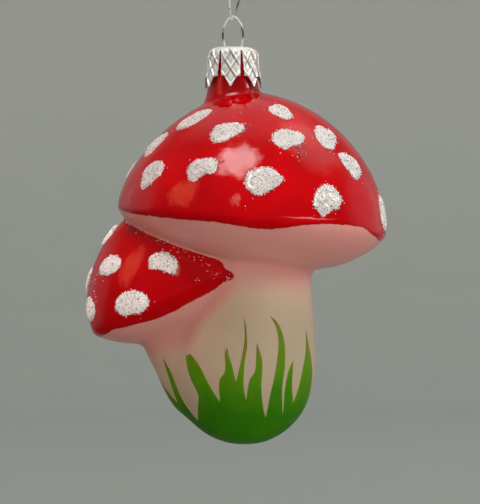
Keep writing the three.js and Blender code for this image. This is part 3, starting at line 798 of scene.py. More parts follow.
def flat_disc(name, around, rings):
    """A flat round plate of faces in rings, one unit in radius, to be pressed into shape."""
    bpy.ops.object.select_all(action="DESELECT")
    bpy.ops.mesh.primitive_circle_add(vertices=around, radius=1, fill_type="NGON")
    disc = bpy.context.object
    disc.name = name
    bpy.ops.object.mode_set(mode="EDIT")
    bpy.ops.mesh.select_all(action="SELECT")
    for _ in range(rings - 1):
        bpy.ops.mesh.inset(thickness=1 / rings)
    bpy.ops.object.mode_set(mode="OBJECT")
    bpy.ops.object.shade_smooth()
    return disc


def round_line(outline, count):
    """A closed smooth line through outline points, as an array of evenly numbered points."""
    again = list(outline) + list(outline[:3])
    line_points = flowing(again, 12)[12:12 * (len(outline) + 1)]
    picks = np.linspace(0, len(line_points), count, endpoint=False).astype(int)
    return np.array([tuple(line_points[i]) for i in picks])


def press(disc, edge_line, lay, body, sink):
    """Lays a flat disc on the glass: filled out to an edge line, full inside, round at its side."""
    heart = edge_line.mean(axis=0)
    around = len(edge_line)
    laid_points = []
    for x, y, _ in points_of(disc):
        out = min(1.0, math.hypot(x, y)) ** 0.6
        corner = edge_line[round(math.atan2(y, x) / (2 * math.pi) * around) % around]
        spot_x, spot_y = heart + (corner - heart) * out
        hit, normal = lay(spot_x, spot_y)
        side_share = max(0.0, (out - 0.6) / 0.4)
        lumps = 0.16 * noise.noise(Vector((spot_x * 1.3, spot_y * 1.3, body * 50)))
        rise = body * (math.sqrt(1 - side_share ** 2) + lumps * (1 - side_share))
        if out >= 0.999:
            rise = -sink
        laid_points.append(hit + normal * rise * MM)
    put_points(disc, np.array([tuple(p) for p in laid_points]))


def grains_mesh(name, spots):
    """All the grains at the given places as one mesh."""
    corners, faces, shades = strewn(spots)
    mesh = bpy.data.meshes.new(name)
    mesh.from_pydata([tuple(c) for c in corners], [], faces)
    piece = bpy.data.objects.new(name, mesh)
    bpy.context.scene.collection.objects.link(piece)
    keep_value(piece, "grain", shades)
    return piece


strays = []


def glitter_spot(name, row, outline, number, large):
    """One cushion of glue and glitter on a dome, with its grains."""
    bearing_at, climb, length, width, turn, dent = row
    dome = (SMALL_RADIUS, SMALL_DEPTH_SHARE, SMALL_HEIGHT, SMALL_FULLNESS)
    on_cap = on_small
    if large:
        dome = (CAP_RADIUS, 1, CAP_HEIGHT, CAP_FULLNESS)
        on_cap = on_large
    centre, side, square, outward = spot_frame(bearing_at, climb, *dome)
    if outline is None:
        outline = spot_oval(length, width, turn, dent, number * (1.7 if large else 1.3))
    edge_line = round_line(outline, EDGE_STEPS)
    x, y = edge_line.T
    if np.sum(x * np.roll(y, -1) - y * np.roll(x, -1)) < 0:
        edge_line = edge_line[::-1]
    heart = edge_line.mean(axis=0)
    angles = np.arctan2(edge_line[:, 1] - heart[1], edge_line[:, 0] - heart[0])
    edge_line = np.roll(edge_line, -int(np.argmin(np.abs(angles))), axis=0)
    straight = (on_cap(centre + outward) - on_cap(centre)).normalized()

    def lay(x, y):
        return on_glass(on_cap(centre + side * x + square * y), straight)

    cushion = flat_disc(name, EDGE_STEPS, rings=7)
    press(cushion, edge_line, lay, GLITTER_BODY * CUSHION_SHARE, GLUE_SINK)
    keep_value(cushion, "grain", np.full(len(cushion.data.vertices), CUSHION_SHADE))

    # Grains cover the cushion and stand out ragged round its side.
    spots = []
    for _ in range(int(length * width * GRAINS_PER_MM2)):
        corner = edge_line[chance.randrange(len(edge_line))]
        ratio = math.sqrt(chance.random()) * 0.98
        x, y = heart + (corner - heart) * ratio
        hit, normal = lay(x, y)
        rise = GLITTER_BODY * math.sqrt(1 - max(0, 2 * ratio - 1) ** 2) * 0.8
        spots.append((hit + normal * rise * MM, normal, chance.uniform(*GRAIN)))
    for x, y in edge_line:
        way = (np.array([x, y]) - heart) / np.linalg.norm((x - heart[0], y - heart[1]))
        for _ in range(EDGE_GRAINS):
            out = chance.uniform(*EDGE_SPREAD)
            off_x = chance.gauss(0, 0.1)
            off_y = chance.gauss(0, 0.1)
            hit, normal = lay(x + way[0] * out + off_x, y + way[1] * out + off_y)
            spots.append((hit + normal * EDGE_RISE * MM, normal, chance.uniform(*GRAIN)))
        if chance.random() < STRAY_CHANCE:
            out = chance.uniform(*STRAY_REACH)
            hit, normal = lay(x + way[0] * out, y + way[1] * out)
            strays.append((hit + normal * LOOSE_RISE * MM, normal, chance.uniform(*STRAY_GRAIN)))
    grains = grains_mesh(name + "_grains", spots)
    select_only(cushion, grains)
    bpy.ops.object.join()
    return cushion


# Crushed glass glitter: each chip a little lighter or darker, hard and bright at its facets.
crushed_glass, tree = new_material("crushed_glass_glitter")
grain_shade = add(tree, "Attribute", attribute_name="grain").outputs["Fac"]
whites = add(tree, "ValToRGB", {"Fac": grain_shade},
             stops=((0.0, "#524e50"), (0.27, "#f5f4f4"), (1.0, "#ffffff")))
spot = add(tree, "TexCoord").outputs["Object"]
frost = add(tree, "TexNoise", {"Vector": spot, "Scale": per_metre(0.5), "Detail": 2.0})
shine = add(tree, "MapRange", {"Value": frost.outputs["Fac"], "To Min": 0.14, "To Max": 0.5})
shader = add(tree, "BsdfPrincipled", {
    "Base Color": whites.outputs["Color"], "Roughness": shine.outputs["Result"], "IOR": 1.6, "Metallic": 0.15,
})
add(tree, "OutputMaterial", {"Surface": shader.outputs["BSDF"]})

spot_pieces = {"large": [], "small": []}
for cap, rows, outlines in (("large", LARGE_SPOTS, LARGE_OUTLINES), ("small", SMALL_SPOTS, SMALL_OUTLINES)):
    for i, row in enumerate(rows):
        label = f"{cap}_{i + 1:02d}"
        spot_piece = glitter_spot(f"glitter_spot_{label}", row, outlines.get(i + 1), i, cap == "large")
        coat_with(spot_piece, crushed_glass)
        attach(spot_piece, "glass")
        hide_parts(f"glitter_{label}")
        spot_pieces[cap].append(spot_piece)


# Loose grains stuck in the crease over the small cap, at its tip and round the spots. Each row is
# a cluster seen from the front: across, below the crown's top, its two half sizes and its count.
LOOSE_GRAINS = [
    (-26.0, 43.8, 1.6, 1.0, 9), (-22.6, 45.6, 2.0, 1.0, 10), (-18.0, 48.0, 2.4, 0.9, 9),
    (-12.5, 50.6, 2.6, 0.8, 8), (-9.5, 52.8, 1.8, 1.2, 6), (-4.8, 56.2, 1.5, 0.6, 7),
    (-6, 54.2, 1.6, 0.6, 4), (-0.8, 57.3, 0.8, 0.6, 13), (-34.0, 59.5, 0.8, 2.8, 10),
    (-8.6, 57.6, 1.2, 0.5, 3), (16.6, 27.4, 1.6, 1.6, 9), (3.0, 41.0, 2.6, 0.6, 2),
]


def from_front(x, below):
    """The glass seen from the front at a place across and below the crown's top, in mm."""
    in_front = 80 * MM
    start_at = Vector((x * MM, -in_front, CROWN_TOP - below * MM))
    hit, normal, _, _ = glass_surface.ray_cast(start_at, Vector((0, 1, 0)), 2 * in_front)
    if hit is None:
        hit, normal, _, _ = glass_surface.find_nearest(start_at + Vector((0, in_front, 0)))
    return hit, normal


for x, below_top, half_x, half_z, count in LOOSE_GRAINS:
    for _ in range(count):
        off_x = chance.gauss(0, half_x * 0.6)
        off_z = chance.gauss(0, half_z * 0.6)
        hit, normal = from_front(x + off_x, below_top + off_z)
        strays.append((hit + normal * LOOSE_RISE * MM, normal, chance.uniform(*LOOSE_GRAIN)))
loose = grains_mesh("loose_grains", strays)
coat_with(loose, crushed_glass)
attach(loose, "glass")

# Clear glue that ran out from under the spots and dried on the red: across, below the crown's top,
# length, width and turn of each smear.
GLUE_SMEARS = [
    (16.2, 26.8, 4.2, 2.8, -60), (3.5, 20.9, 2.6, 2.0, 40), (1.7, 22.7, 2.6, 1.2, 20),
    # The last two smears on the next line lie along the crease over the small cap; their dark red band is
    # partly painted shade of the crease.
    (-3.0, 29.8, 2.6, 0.9, 25), (-24.0, 45.9, 5.6, 1.8, -26), (-18.4, 48.4, 6.4, 1.5, -22),
    (11.3, 34.0, 2.4, 1.2, 30),
]
SMEAR_BODY = 0.04
SMEAR_STEPS = 30

# Dried glue: a thin wrinkled skin that wets the lacquer to a deeper red and shines. Along the crease over the
# small cap its deeper red is also painted shade of the crease.
dried_glue, tree = new_material("dried_clear_glue")
spot = add(tree, "TexCoord").outputs["Object"]
film_noise = add(tree, "TexNoise", {"Vector": spot, "Scale": per_metre(0.8), "Detail": 3.0})
glues = add(tree, "ValToRGB", {"Fac": film_noise.outputs["Fac"]}, stops=((0.35, "#920008"), (0.7, "#b4000a")))
ripple = add(tree, "Bump", {"Height": film_noise.outputs["Fac"], "Strength": 0.8, "Distance": 0.25 * MM})
shader = add(tree, "BsdfPrincipled", {
    "Base Color": glues.outputs["Color"], "Roughness": 0.08, "IOR": 1.48, "Normal": ripple.outputs["Normal"],
})
add(tree, "OutputMaterial", {"Surface": shader.outputs["BSDF"]})
for i, (x, below_top, length, width, turn) in enumerate(GLUE_SMEARS):
    smear = flat_disc(f"glue_smear_{i + 1:02d}", SMEAR_STEPS, rings=5)
    smear_line = np.array(spot_oval(length, width, turn, 0.2, i * 2.1))
    smear_line *= 1 + 0.1 * np.sin(np.arange(len(smear_line)) * 1.4 + i)[:, None]
    smear_line = round_line(smear_line.tolist(), SMEAR_STEPS)
    press(smear, smear_line, lambda dx, dz: from_front(x + dx, below_top - dz), SMEAR_BODY, GLUE_SINK)
    coat_with(smear, dried_glue)
    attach(smear, "glass")


# CROWN CAP
# A cup stamped from thin bright tin plate and pushed over the neck. Its skirt is slit into seven
# petals, each ending in a blunt point and pressed with a lattice of raised lozenges.
CROWN_INSIDE = 5.9
CROWN_SHEET = 0.3
CROWN_OUTSIDE = CROWN_INSIDE + CROWN_SHEET
CROWN_SHOULDER = 2.0
CROWN_SKIRT = 7.3
CROWN_LENGTH = 9.9
CROWN_FLARE = 1.0
PETALS = 7
PETAL_TURN = -5.0
POINT_WIDTH = 2.9
POINT_END = 0.6
SLIT_START = 0.9
SLIT_TOP = 0.4
SLIT_FOOT = 1.1
LATTICE_START = 0.9
LATTICE_DROP = 4.4
RIDGE_WIDTH = 0.2
RIDGE_RISE = 0.26
GROOVE_OFF = 0.42
GROOVE_WIDTH = 0.16
GROOVE_SINK = 0.1
PILLOW = 0.1
PLAIN_EDGE = (0.6, 0.88)
CROWN_DISC = 3.6
CROWN_WALL = 0.26
LEG_SLOT = (1.62, 1.12, 2.0)
LEG_SLOT_OFF = 2.27
COLUMNS = 44
SKIRT_ROWS = 76


def crown_section():
    """Outer line of the crown from its flat top over the shoulder to the points, in mm."""
    flat_edge = CROWN_OUTSIDE - CROWN_SHOULDER
    line_points = [(CROWN_DISC + (flat_edge - CROWN_DISC) * i / 6, 0.0) for i in range(6)]
    for i in range(11):
        angle = i / 10 * math.pi / 2
        line_points.append((flat_edge + CROWN_SHOULDER * math.sin(angle),
                            CROWN_SHOULDER * (1 - math.cos(angle))))
    for i in range(1, SKIRT_ROWS + 1):
        share = i / SKIRT_ROWS
        line_points.append((CROWN_OUTSIDE + CROWN_FLARE * share ** 1.5,
                            CROWN_SHOULDER + (CROWN_LENGTH - CROWN_SHOULDER) * share))
    return line_points


def petal_half_width(radius, down):
    """Half the width of a petal at a depth below the crown's top, in mm along its chord."""
    half_pitch = math.sin(math.pi / PETALS)
    if down <= SLIT_START:
        return None
    if down <= CROWN_SKIRT:
        share = (down - SLIT_START) / (CROWN_SKIRT - SLIT_START)
        return radius * half_pitch - (SLIT_TOP + (SLIT_FOOT - SLIT_TOP) * share) / 2
    share = (down - CROWN_SKIRT) / (CROWN_LENGTH - CROWN_SKIRT)
    return (POINT_WIDTH + (POINT_END - POINT_WIDTH) * share) / 2


# One petal is shaped from a flat grid and copied round; a thin row splits the skirt from its point.
rows = crown_section()
split = max(i for i, (_, down) in enumerate(rows) if down <= CROWN_SKIRT)
radius_there = rows[split][0]
rows = rows[:split + 1] + [(radius_there + 0.005, CROWN_SKIRT + 0.01)] + rows[split + 1:]
bpy.ops.object.select_all(action="DESELECT")
bpy.ops.mesh.primitive_grid_add(x_subdivisions=COLUMNS, y_subdivisions=len(rows) - 1, size=1)
petal = bpy.context.object
petal.name = "crown_cap_stamped"
grid = points_of(petal)
ridge_shades = np.zeros(len(grid))
columns = np.rint((grid[:, 0] + 0.5) * COLUMNS).astype(int)
lines = np.rint((0.5 - grid[:, 1]) * (len(rows) - 1)).astype(int)
for n, (column, number) in enumerate(zip(columns, lines)):
    radius, down = rows[number]
    half = petal_half_width(radius, down)
    widest = math.pi / PETALS
    if half is not None:
        widest = math.asin(min(1.0, half / radius))
    angle = (column / COLUMNS * 2 - 1) * widest
    place = angle / (math.pi / PETALS)
    fall = (down - LATTICE_START) / LATTICE_DROP
    steep = math.hypot(PETALS / (math.pi * radius), 1 / LATTICE_DROP)
    nearest = 1e9
    dark = 0.0
    # Painted shade: a dark line beside each ridge on its lower flank, away from the light above, stronger on
    # one diagonal.
    for diagonal, flank, depth_of_shade in ((place + fall, 1, 0.5), (place - fall, -1, 1.0)):
        offset = (diagonal - round(diagonal)) / steep
        nearest = min(nearest, abs(offset))
        dark = max(dark, depth_of_shade * near(offset * flank - GROOVE_OFF, GROOVE_WIDTH))
    shown = float(smoothstep(down, 0.25, 0.9) * (1 - smoothstep(abs(place), *PLAIN_EDGE)))
    rise = RIDGE_RISE * near(nearest, RIDGE_WIDTH)
    rise -= GROOVE_SINK * near(nearest - GROOVE_OFF, GROOVE_WIDTH)
    rise = (rise + PILLOW * min(1.0, nearest / 0.9) ** 2) * shown
    ridge_shades[n] = dark * shown
    before, after = rows[max(0, number - 1)], rows[min(len(rows) - 1, number + 1)]
    along = Vector((after[0] - before[0], -(after[1] - before[1]))).normalized()
    out = radius - along.y * rise
    level = -down + along.x * rise
    grid[n] = (out * math.sin(angle), -out * math.cos(angle), level)
put_points(petal, grid * MM)
keep_value(petal, "ridge_shade", ridge_shades)
petals = [petal]
for i in range(1, PETALS):
    twin = petal.copy()
    twin.data = petal.data.copy()
    bpy.context.scene.collection.objects.link(twin)
    twin.rotation_euler = (0, 0, i * 2 * math.pi / PETALS)
    petals.append(twin)
select_only(*petals)
bpy.ops.object.transform_apply(location=True, rotation=True, scale=True)
bpy.ops.object.join()
crown = bpy.context.object
bpy.ops.object.mode_set(mode="EDIT")
bpy.ops.mesh.select_all(action="SELECT")
bpy.ops.mesh.remove_doubles(threshold=0.01 * MM)
bpy.ops.mesh.select_all(action="DESELECT")
bpy.ops.object.mode_set(mode="OBJECT")
for vertex in crown.data.vertices:
    vertex.select = math.hypot(vertex.co.x, vertex.co.y) < (CROWN_DISC + 0.02) * MM
bpy.ops.object.mode_set(mode="EDIT")
bpy.ops.mesh.select_mode(type="VERT")
bpy.ops.mesh.edge_face_add()
bpy.ops.mesh.inset(thickness=0.6 * MM)
bpy.ops.mesh.inset(thickness=1.2 * MM)
bpy.ops.mesh.select_all(action="SELECT")
bpy.ops.mesh.normals_make_consistent(inside=False)
bpy.ops.object.mode_set(mode="OBJECT")
upward = sum(p.normal.z * p.area for p in crown.data.polygons if p.center.z > -0.1 * MM)
if upward < 0:
    crown.data.flip_normals()
sheet = crown.modifiers.new("sheet", "SOLIDIFY")
sheet.thickness = CROWN_WALL * MM
sheet.offset = -1
finish_modifier(crown, sheet)
settle(crown, (0, 0, CROWN_TOP / MM), (0, 0, PETAL_TURN))
for side in (-1, 1):
    bpy.ops.object.select_all(action="DESELECT")
    bpy.ops.mesh.primitive_cube_add(size=1)
    slot = bpy.context.object
    settle(slot, (side * LEG_SLOT_OFF, 0, CROWN_TOP / MM), scale=[v * MM for v in LEG_SLOT])
    combine(crown, slot, "DIFFERENCE")
select_only(crown)
bpy.ops.object.shade_smooth_by_angle(angle=math.radians(35))

# Bright tin plate: silvery, softened by fine drawing marks, with painted shade along one flank of its pressed
# ridges.
tin_plate, tree = new_material("bright_tin_plate")
spot = add(tree, "TexCoord").outputs["Object"]
marks_at = add(tree, "Mapping", {"Vector": spot, "Scale": (1, 1, 0.2)}).outputs["Vector"]
marks = add(tree, "TexNoise", {"Vector": marks_at, "Scale": per_metre(0.5), "Detail": 4.0})
dull = add(tree, "MapRange", {"Value": marks.outputs["Fac"], "To Min": 0.3, "To Max": 0.48})
cloud = add(tree, "TexNoise", {"Vector": spot, "Scale": per_metre(2.5), "Detail": 2.0})
tins = add(tree, "ValToRGB", {"Fac": cloud.outputs["Fac"]}, stops=((0, "#dcdedb"), (1, "#f7f8f7")))
ridge_shade = add(tree, "Attribute", attribute_name="ridge_shade").outputs["Fac"]
ridge_shade = add(tree, "Math", {0: ridge_shade, 1: 0.85}, operation="MULTIPLY").outputs[0]
tin = add(tree, "Mix", {0: ridge_shade, 6: tins.outputs["Color"], 7: paint("#3c3b34")}, data_type="RGBA")
nicks = add(tree, "Bump", {"Height": marks.outputs["Fac"], "Strength": 0.25, "Distance": 0.05 * MM})
shader = add(tree, "BsdfPrincipled", {
    "Base Color": tin.outputs[2], "Metallic": 0.35, "Roughness": dull.outputs["Result"],
    "Normal": nicks.outputs["Normal"],
})
add(tree, "OutputMaterial", {"Surface": shader.outputs["BSDF"]})
coat_with(crown, tin_plate)
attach(crown, "crown")
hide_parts("crown_cap")


# HANGER WIRE
# One springy wire bent to a pear-shaped loop. Its two legs go through the slots of the crown and
# press on the inside of the neck, which holds the crown on.
HANGER_WIRE = 0.52
LEG_TOUCH = 4.04
LEG_END = 3.44
HANGER_HALF = [(1.85, 6.1), (2.53, 3.2), (2.05, 0), (2.05, -0.8), (LEG_TOUCH, -9), (LEG_END, -15)]
HANGER_TOP = (0, 7.85)
PAINTED_BAND_EVERY = 6.6


def bent_wire(name, line_points, thickness):
    """Round wire along a line of points, in mm."""
    bpy.ops.object.select_all(action="DESELECT")
    bpy.ops.curve.primitive_bezier_curve_add()
    piece = bpy.context.object
    piece.name = name
    piece.data.splines.clear()
    spline = piece.data.splines.new("POLY")
    spline.points.add(len(line_points) - 1)
    for point, place in zip(spline.points, line_points):
        point.co = (*(place * MM), 1)
    piece.data.dimensions = "3D"
    piece.data.bevel_depth = thickness / 2 * MM
    piece.data.bevel_resolution = 4
    piece.data.use_fill_caps = True
    bpy.ops.object.convert(target="MESH")
    piece = bpy.context.object
    bpy.ops.object.mode_set(mode="EDIT")
    bpy.ops.mesh.select_all(action="SELECT")
    bpy.ops.mesh.remove_doubles(threshold=0.002 * MM)
    bpy.ops.mesh.normals_make_consistent(inside=False)
    bpy.ops.object.mode_set(mode="OBJECT")
    bpy.ops.object.shade_smooth_by_angle(angle=math.radians(40))
    return piece


lift = Vector((0, 0, CROWN_TOP / MM))
right = [Vector((x, 0, z)) + lift for x, z in HANGER_HALF]
left = [Vector((-x, 0, z)) + lift for x, z in HANGER_HALF][::-1]
top = Vector((HANGER_TOP[0], 0, HANGER_TOP[1])) + lift
hanger = bent_wire("hanger_wire_sprung", flowing(left + [top] + right, 14), HANGER_WIRE)

# Spring steel wire: drawn bright, its colour painted in bands up its height: painted highlights at its feet
# and top, painted dark reflection between them.
spring_wire, tree = new_material("drawn_spring_wire")
spot = add(tree, "TexCoord").outputs["Object"]
die = add(tree, "TexNoise", {"Vector": spot, "Scale": per_metre(0.6), "Detail": 3.0})
dull = add(tree, "MapRange", {"Value": die.outputs["Fac"], "To Min": 0.25, "To Max": 0.45})
tall = add(tree, "SeparateXYZ", {"Vector": spot}).outputs["Z"]
tall = add(tree, "Math", {0: tall, 1: -CROWN_TOP}, operation="ADD").outputs[0]
turn = add(tree, "Math", {0: tall, 1: 2 * math.pi * per_metre(PAINTED_BAND_EVERY)}, operation="MULTIPLY").outputs[0]
painted_gleam = add(tree, "Math", {0: turn}, operation="COSINE").outputs[0]
wear_and_shade = add(tree, "TexNoise", {"Vector": spot, "Scale": per_metre(2.4), "Detail": 2.0}).outputs["Fac"]
painted_gleam = add(tree, "Math", {0: painted_gleam, 1: 0.22, 2: wear_and_shade}, operation="MULTIPLY_ADD").outputs[0]
steels = add(tree, "ValToRGB", {"Fac": painted_gleam}, stops=((0.36, "#5a5956"), (0.56, "#f2f4f5")))
shader = add(tree, "BsdfPrincipled", {
    "Base Color": steels.outputs["Color"], "Metallic": 0.55, "Roughness": dull.outputs["Result"],
})
add(tree, "OutputMaterial", {"Surface": shader.outputs["BSDF"]})
coat_with(hanger, spring_wire)
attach(hanger, "hanger")
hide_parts("hanger_wire")


# HOOK
# A thin wire ornament hook: a short tail, a small eye under the loop, a slanting shank and an
# open bend that goes over the branch. It is bent by hand from one piece of wire.
HOOK_WIRE = 0.5
HOOK_BEND = 6.25
HOOK_INSIDE = 6.0
EYE = 1.21
EYE_BOTTOM = -22.95
EYE_TURN = math.radians(58)
TAIL = 6.5
FLARE = 0.4
SHANK_FLARE = 0.5
TIP = 4.0


def beside(side, level):
    """A place beside the middle of the hook's eye, in the plane that the eye is turned to."""
    return Vector((math.cos(EYE_TURN) * side, math.sin(EYE_TURN) * side, level))


eye_top = EYE_BOTTOM + 2 * EYE
hook_points = [beside(-EYE - FLARE, EYE_BOTTOM + TAIL), beside(-EYE - FLARE, eye_top + EYE / 2)]
for i in range(-2, 3):
    angle = i * math.pi / 5
    hook_points.append(beside(EYE * math.sin(angle), EYE_BOTTOM + EYE * (1 - math.cos(angle))))
hook_points.append(beside(EYE + SHANK_FLARE, eye_top + EYE / 2))
for i in range(9):
    angle = i / 8 * math.pi
    hook_points.append(Vector((HOOK_BEND * math.cos(angle), 0, HOOK_BEND * math.sin(angle) - HOOK_INSIDE)))
hook_points.append(Vector((-HOOK_BEND - FLARE, 0, -HOOK_INSIDE - TIP)))
hook = bent_wire("hook_wire", flowing(hook_points, 12), HOOK_WIRE)

# Galvanised soft wire: a thin clouded zinc skin in uneven patches; the shank side, on the right, is painted
# darker as shade.
zinc_wire, tree = new_material("galvanised_wire")
spot = add(tree, "TexCoord").outputs["Object"]
bloom = add(tree, "TexNoise", {"Vector": spot, "Scale": per_metre(0.9), "Detail": 4.0})
dull = add(tree, "MapRange", {"Value": bloom.outputs["Fac"], "To Min": 0.18, "To Max": 0.42})
worn = add(tree, "TexNoise", {"Vector": spot, "Scale": per_metre(5), "Detail": 2.0})
# Painted shade: darker to the right of the hook's middle, lighter to its left.
sideways = add(tree, "SeparateXYZ", {"Vector": spot}).outputs["X"]
sideways = add(tree, "MapRange", {
    "Value": sideways, "From Min": 0.6 * MM, "From Max": -0.6 * MM, "To Min": -0.14, "To Max": 0.1,
}).outputs["Result"]
wear_and_shade = add(tree, "Math", {0: worn.outputs["Fac"], 1: sideways}, operation="ADD").outputs[0]
zincs = add(tree, "ValToRGB", {"Fac": wear_and_shade}, stops=((0.3, "#5f5f5d"), (0.46, "#eef0f1")))
shader = add(tree, "BsdfPrincipled", {
    "Base Color": zincs.outputs["Color"], "Metallic": 0.55, "Roughness": dull.outputs["Result"],
})
add(tree, "OutputMaterial", {"Surface": shader.outputs["BSDF"]})
coat_with(hook, zinc_wire)
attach(hook, "hook")
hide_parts("hook")


# STUDIO
# A wide bowl of plain pale paper under and round the ornament, soft lights and cards on all its
# sides, and the camera in front.
FLOOR_LEVEL = -185.0
BOWL_RADIUS = 1400.0
BOWL_BEND = 450.0
BOWL_TOP = 1250.0
bowl_section = [(0, FLOOR_LEVEL), (BOWL_RADIUS - BOWL_BEND, FLOOR_LEVEL)]
for i in range(1, 13):
    angle = i / 12 * math.pi / 2
    bowl_section.append((BOWL_RADIUS - BOWL_BEND * (1 - math.sin(angle)),
                         FLOOR_LEVEL + BOWL_BEND * (1 - math.cos(angle))))
bowl_section.append((BOWL_RADIUS, BOWL_TOP))
bowl = turned("paper_bowl", bowl_section, steps=72)
select_only(bowl)
bpy.ops.object.shade_smooth()
# The lacquer mirrors only the lights and the three cards, as in a dark room.
bowl.visible_glossy = False
# Matt paper: no shine, with a soft fibre cloud, darker under the ornament and paler up its sides.
paper, tree = new_material("pale_studio_paper")
spot = add(tree, "TexCoord").outputs["Object"]
fibre = add(tree, "TexNoise", {"Vector": spot, "Scale": per_metre(40), "Detail": 3.0})
greys = add(tree, "ValToRGB", {"Fac": fibre.outputs["Fac"]}, stops=((0, "#aeb6b2"), (1, "#b6beba")))
flat_way = add(tree, "VectorMath", {0: spot, 1: (1, 1, 0)}, operation="MULTIPLY").outputs[0]
away = add(tree, "VectorMath", {0: flat_way}, operation="LENGTH").outputs["Value"]
away = add(tree, "MapRange", {"Value": away, "From Min": 0.35, "From Max": 1.0}).outputs["Result"]
ground = add(tree, "Mix", {0: away, 6: paint("#929a96"), 7: greys.outputs["Color"]}, data_type="RGBA")
high = add(tree, "SeparateXYZ", {"Vector": spot}).outputs["Z"]
graded = add(tree, "MapRange", {"Value": high, "From Min": FLOOR_LEVEL * MM, "From Max": 0.12},
             interpolation_type="SMOOTHSTEP").outputs["Result"]
tone = add(tree, "Mix", {0: graded, 6: ground.outputs[2], 7: paint("#c6ccc8")}, data_type="RGBA")
shader = add(tree, "BsdfPrincipled", {"Base Color": tone.outputs[2], "Roughness": 0.85})
add(tree, "OutputMaterial", {"Surface": shader.outputs["BSDF"]})
coat_with(bowl, paper)


MIDDLE = (0, 0, -0.08)


def softbox(name, place, size, power, colour_code, ragged, aim=MIDDLE):
    """A soft light at a place, turned to face a spot; its glow fades out in an uneven edge."""
    bpy.ops.object.light_add(type="AREA", location=place)
    lamp = bpy.context.object
    lamp.name = name
    lamp.data.shape = "RECTANGLE"
    lamp.data.size, lamp.data.size_y = size
    lamp.data.energy = power
    lamp.data.color = paint(colour_code)[:3]
    lamp.rotation_euler = (Vector(aim) - Vector(place)).to_track_quat("-Z", "Y").to_euler()
    lamp.data.use_nodes = True
    tree = lamp.data.node_tree
    tree.nodes.clear()
    across_lamp = add(tree, "NewGeometry").outputs["Parametric"]
    drift = add(tree, "TexNoise", {"Vector": across_lamp, "Scale": 3.5, "Detail": 2.0}).outputs["Color"]
    drift = add(tree, "VectorMath", {0: drift, 1: (0.5, 0.5, 0.5)}, operation="SUBTRACT").outputs[0]
    drift = add(tree, "VectorMath", {0: drift, 1: (ragged, ragged, 0)}, operation="MULTIPLY").outputs[0]
    off = add(tree, "VectorMath", {0: across_lamp, 1: (0.5, 0.5, 0)}, operation="SUBTRACT").outputs[0]
    off = add(tree, "VectorMath", {0: off, 1: drift}, operation="ADD").outputs[0]
    off = add(tree, "VectorMath", {0: off, 1: (1, 1, 0)}, operation="MULTIPLY").outputs[0]
    reach = add(tree, "VectorMath", {0: off}, operation="LENGTH").outputs["Value"]
    fade = add(tree, "MapRange", {"Value": reach, "From Min": 0.5, "From Max": 0.22},
               interpolation_type="SMOOTHSTEP").outputs["Result"]
    glow = add(tree, "Emission", {"Strength": fade})
    add(tree, "OutputLight", {"Surface": glow.outputs["Emission"]})
    return lamp


# Windows and a ceiling over the ornament, and pale cards behind it that only the gloss mirrors.
softbox("overhead_window", (-0.12, -0.29, 0.6), (0.5, 0.44), 7.2, "#fffaf6", 0.5)
softbox("ceiling_fill", (0.1, 0.35, 0.9), (1.9, 1.4), 3.9, "#ffffff", 0.2)
softbox("right_window", (0.7, -0.19, 0.25), (0.28, 0.28), 4.0, "#fff6ee", 0.2)
softbox("right_haze", (0.55, 0.12, 0.75), (0.95, 0.85), 2.4, "#fff4ee", 0.4)
warm = softbox("left_window", (-0.72, -0.33, 0.35), (0.46, 0.66), 3.2, "#ff9068", 0.7)
softbox("far_lamp", (-0.16, -0.75, 0.3), (0.14, 0.24), 0.5, "#ffc8b8", 1.1)
left_card = softbox("left_card", (-1.1, 0.55, 0.1), (1.6, 1.6), 2.8, "#f6f4ff", 0.2)
right_card = softbox("right_card", (1.1, 0.55, 0.1), (1.6, 1.6), 2.8, "#f6f4ff", 0.2)
back_card = softbox("back_card", (0, 1.3, 0), (3.6, 3.0), 6.0, "#f4f6f4", 0.1)

# The metal has soft lights of its own, high on both sides, and none of the warm window. A small lamp
# in front makes the spots of the small cap sparkle.
spark = softbox("spot_sparkle", (-0.35, -0.6, 0.2), (0.08, 0.08), 3.4, "#fff8f0", 0.1)
left_kicker = softbox("left_metal_light", (-0.55, -0.12, 0.55), (0.5, 0.5), 2.2, "#ffffff", 0.2)
right_kicker = softbox("right_metal_light", (0.5, -0.12, 0.6), (0.5, 0.5), 1.3, "#ffffff", 0.2)

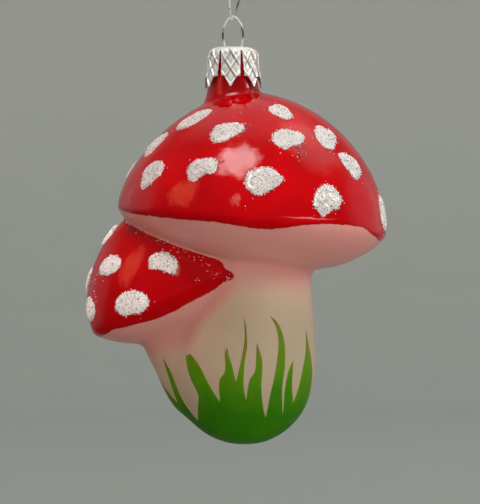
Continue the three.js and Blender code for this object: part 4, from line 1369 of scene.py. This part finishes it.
# Light comes back up from the table under the caps, and a thin strip draws a line along the rim.
bounce = softbox("table_bounce", (0.1, -0.3, -0.18), (0.6, 0.5), 1.75, "#fff2e8", 0.2)
low_right = softbox("low_right_bounce", (0.45, -0.22, -0.3), (0.3, 0.3), 0.7, "#fff2ea", 0.2)
rim_strip = softbox("rim_strip", (0.5, -0.42, 0.02), (0.7, 0.024), 0.38, "#fff4f0", 0.0)
paper_light = softbox("paper_light", (0.2, 0, 1.2), (2.2, 2.2), 15.0, "#fbfffb", 0.0, (0.2, 0.001, 0))
for lamp in (left_card, right_card, back_card, rim_strip):
    lamp.visible_diffuse = False
for lamp in (bounce, low_right):
    lamp.visible_glossy = False

metals = (crown, hanger, hook)
papers = (bowl,)
for lamp, pieces, state in (
        (left_kicker, metals, "INCLUDE"), (right_kicker, metals, "INCLUDE"), (warm, metals, "EXCLUDE"),
        (paper_light, papers, "INCLUDE"), (bounce, papers, "EXCLUDE"), (low_right, papers, "EXCLUDE"),
        (spark, spot_pieces["small"], "INCLUDE")):
    lit = bpy.data.collections.new(lamp.name + "_on")
    for piece in pieces:
        lit.objects.link(piece)
    for item in lit.collection_objects:
        item.light_linking.link_state = state
    lamp.light_linking.receiver_collection = lit
# The paper is clear to the low light, which shines up through it under the right of the cap.
low_right.light_linking.blocker_collection = low_right.light_linking.receiver_collection

world = bpy.data.worlds.new("studio_room")
bpy.context.scene.world = world
world.use_nodes = True
tree = world.node_tree
tree.nodes.clear()
sky = add(tree, "TexCoord").outputs["Generated"]
up = add(tree, "SeparateXYZ", {"Vector": sky}).outputs["Z"]
level = add(tree, "MapRange", {"Value": up, "From Min": -1.0, "From Max": 1.0})
room = add(tree, "ValToRGB", {"Fac": level.outputs["Result"]}, stops=((0.3, "#3a3937"), (0.9, "#6a6a69")))
glow = add(tree, "Background", {"Color": room.outputs["Color"], "Strength": 1.0})
add(tree, "OutputWorld", {"Surface": glow.outputs["Background"]})
bpy.context.scene.view_settings.view_transform = "Standard"

CAMERA_AWAY = 600.0
CAMERA_SIDE = 1.75
CAMERA_LEVEL = -80.99
FRAME_TALL = 126.0
SENSOR = 36
camera_place = (CAMERA_SIDE * MM, -CAMERA_AWAY * MM, CAMERA_LEVEL * MM)
bpy.ops.object.camera_add(location=camera_place, rotation=(math.pi / 2, 0, 0))
camera = bpy.context.object
camera.data.sensor_width = SENSOR
camera.data.lens = SENSOR * CAMERA_AWAY / FRAME_TALL
bpy.context.scene.camera = camera
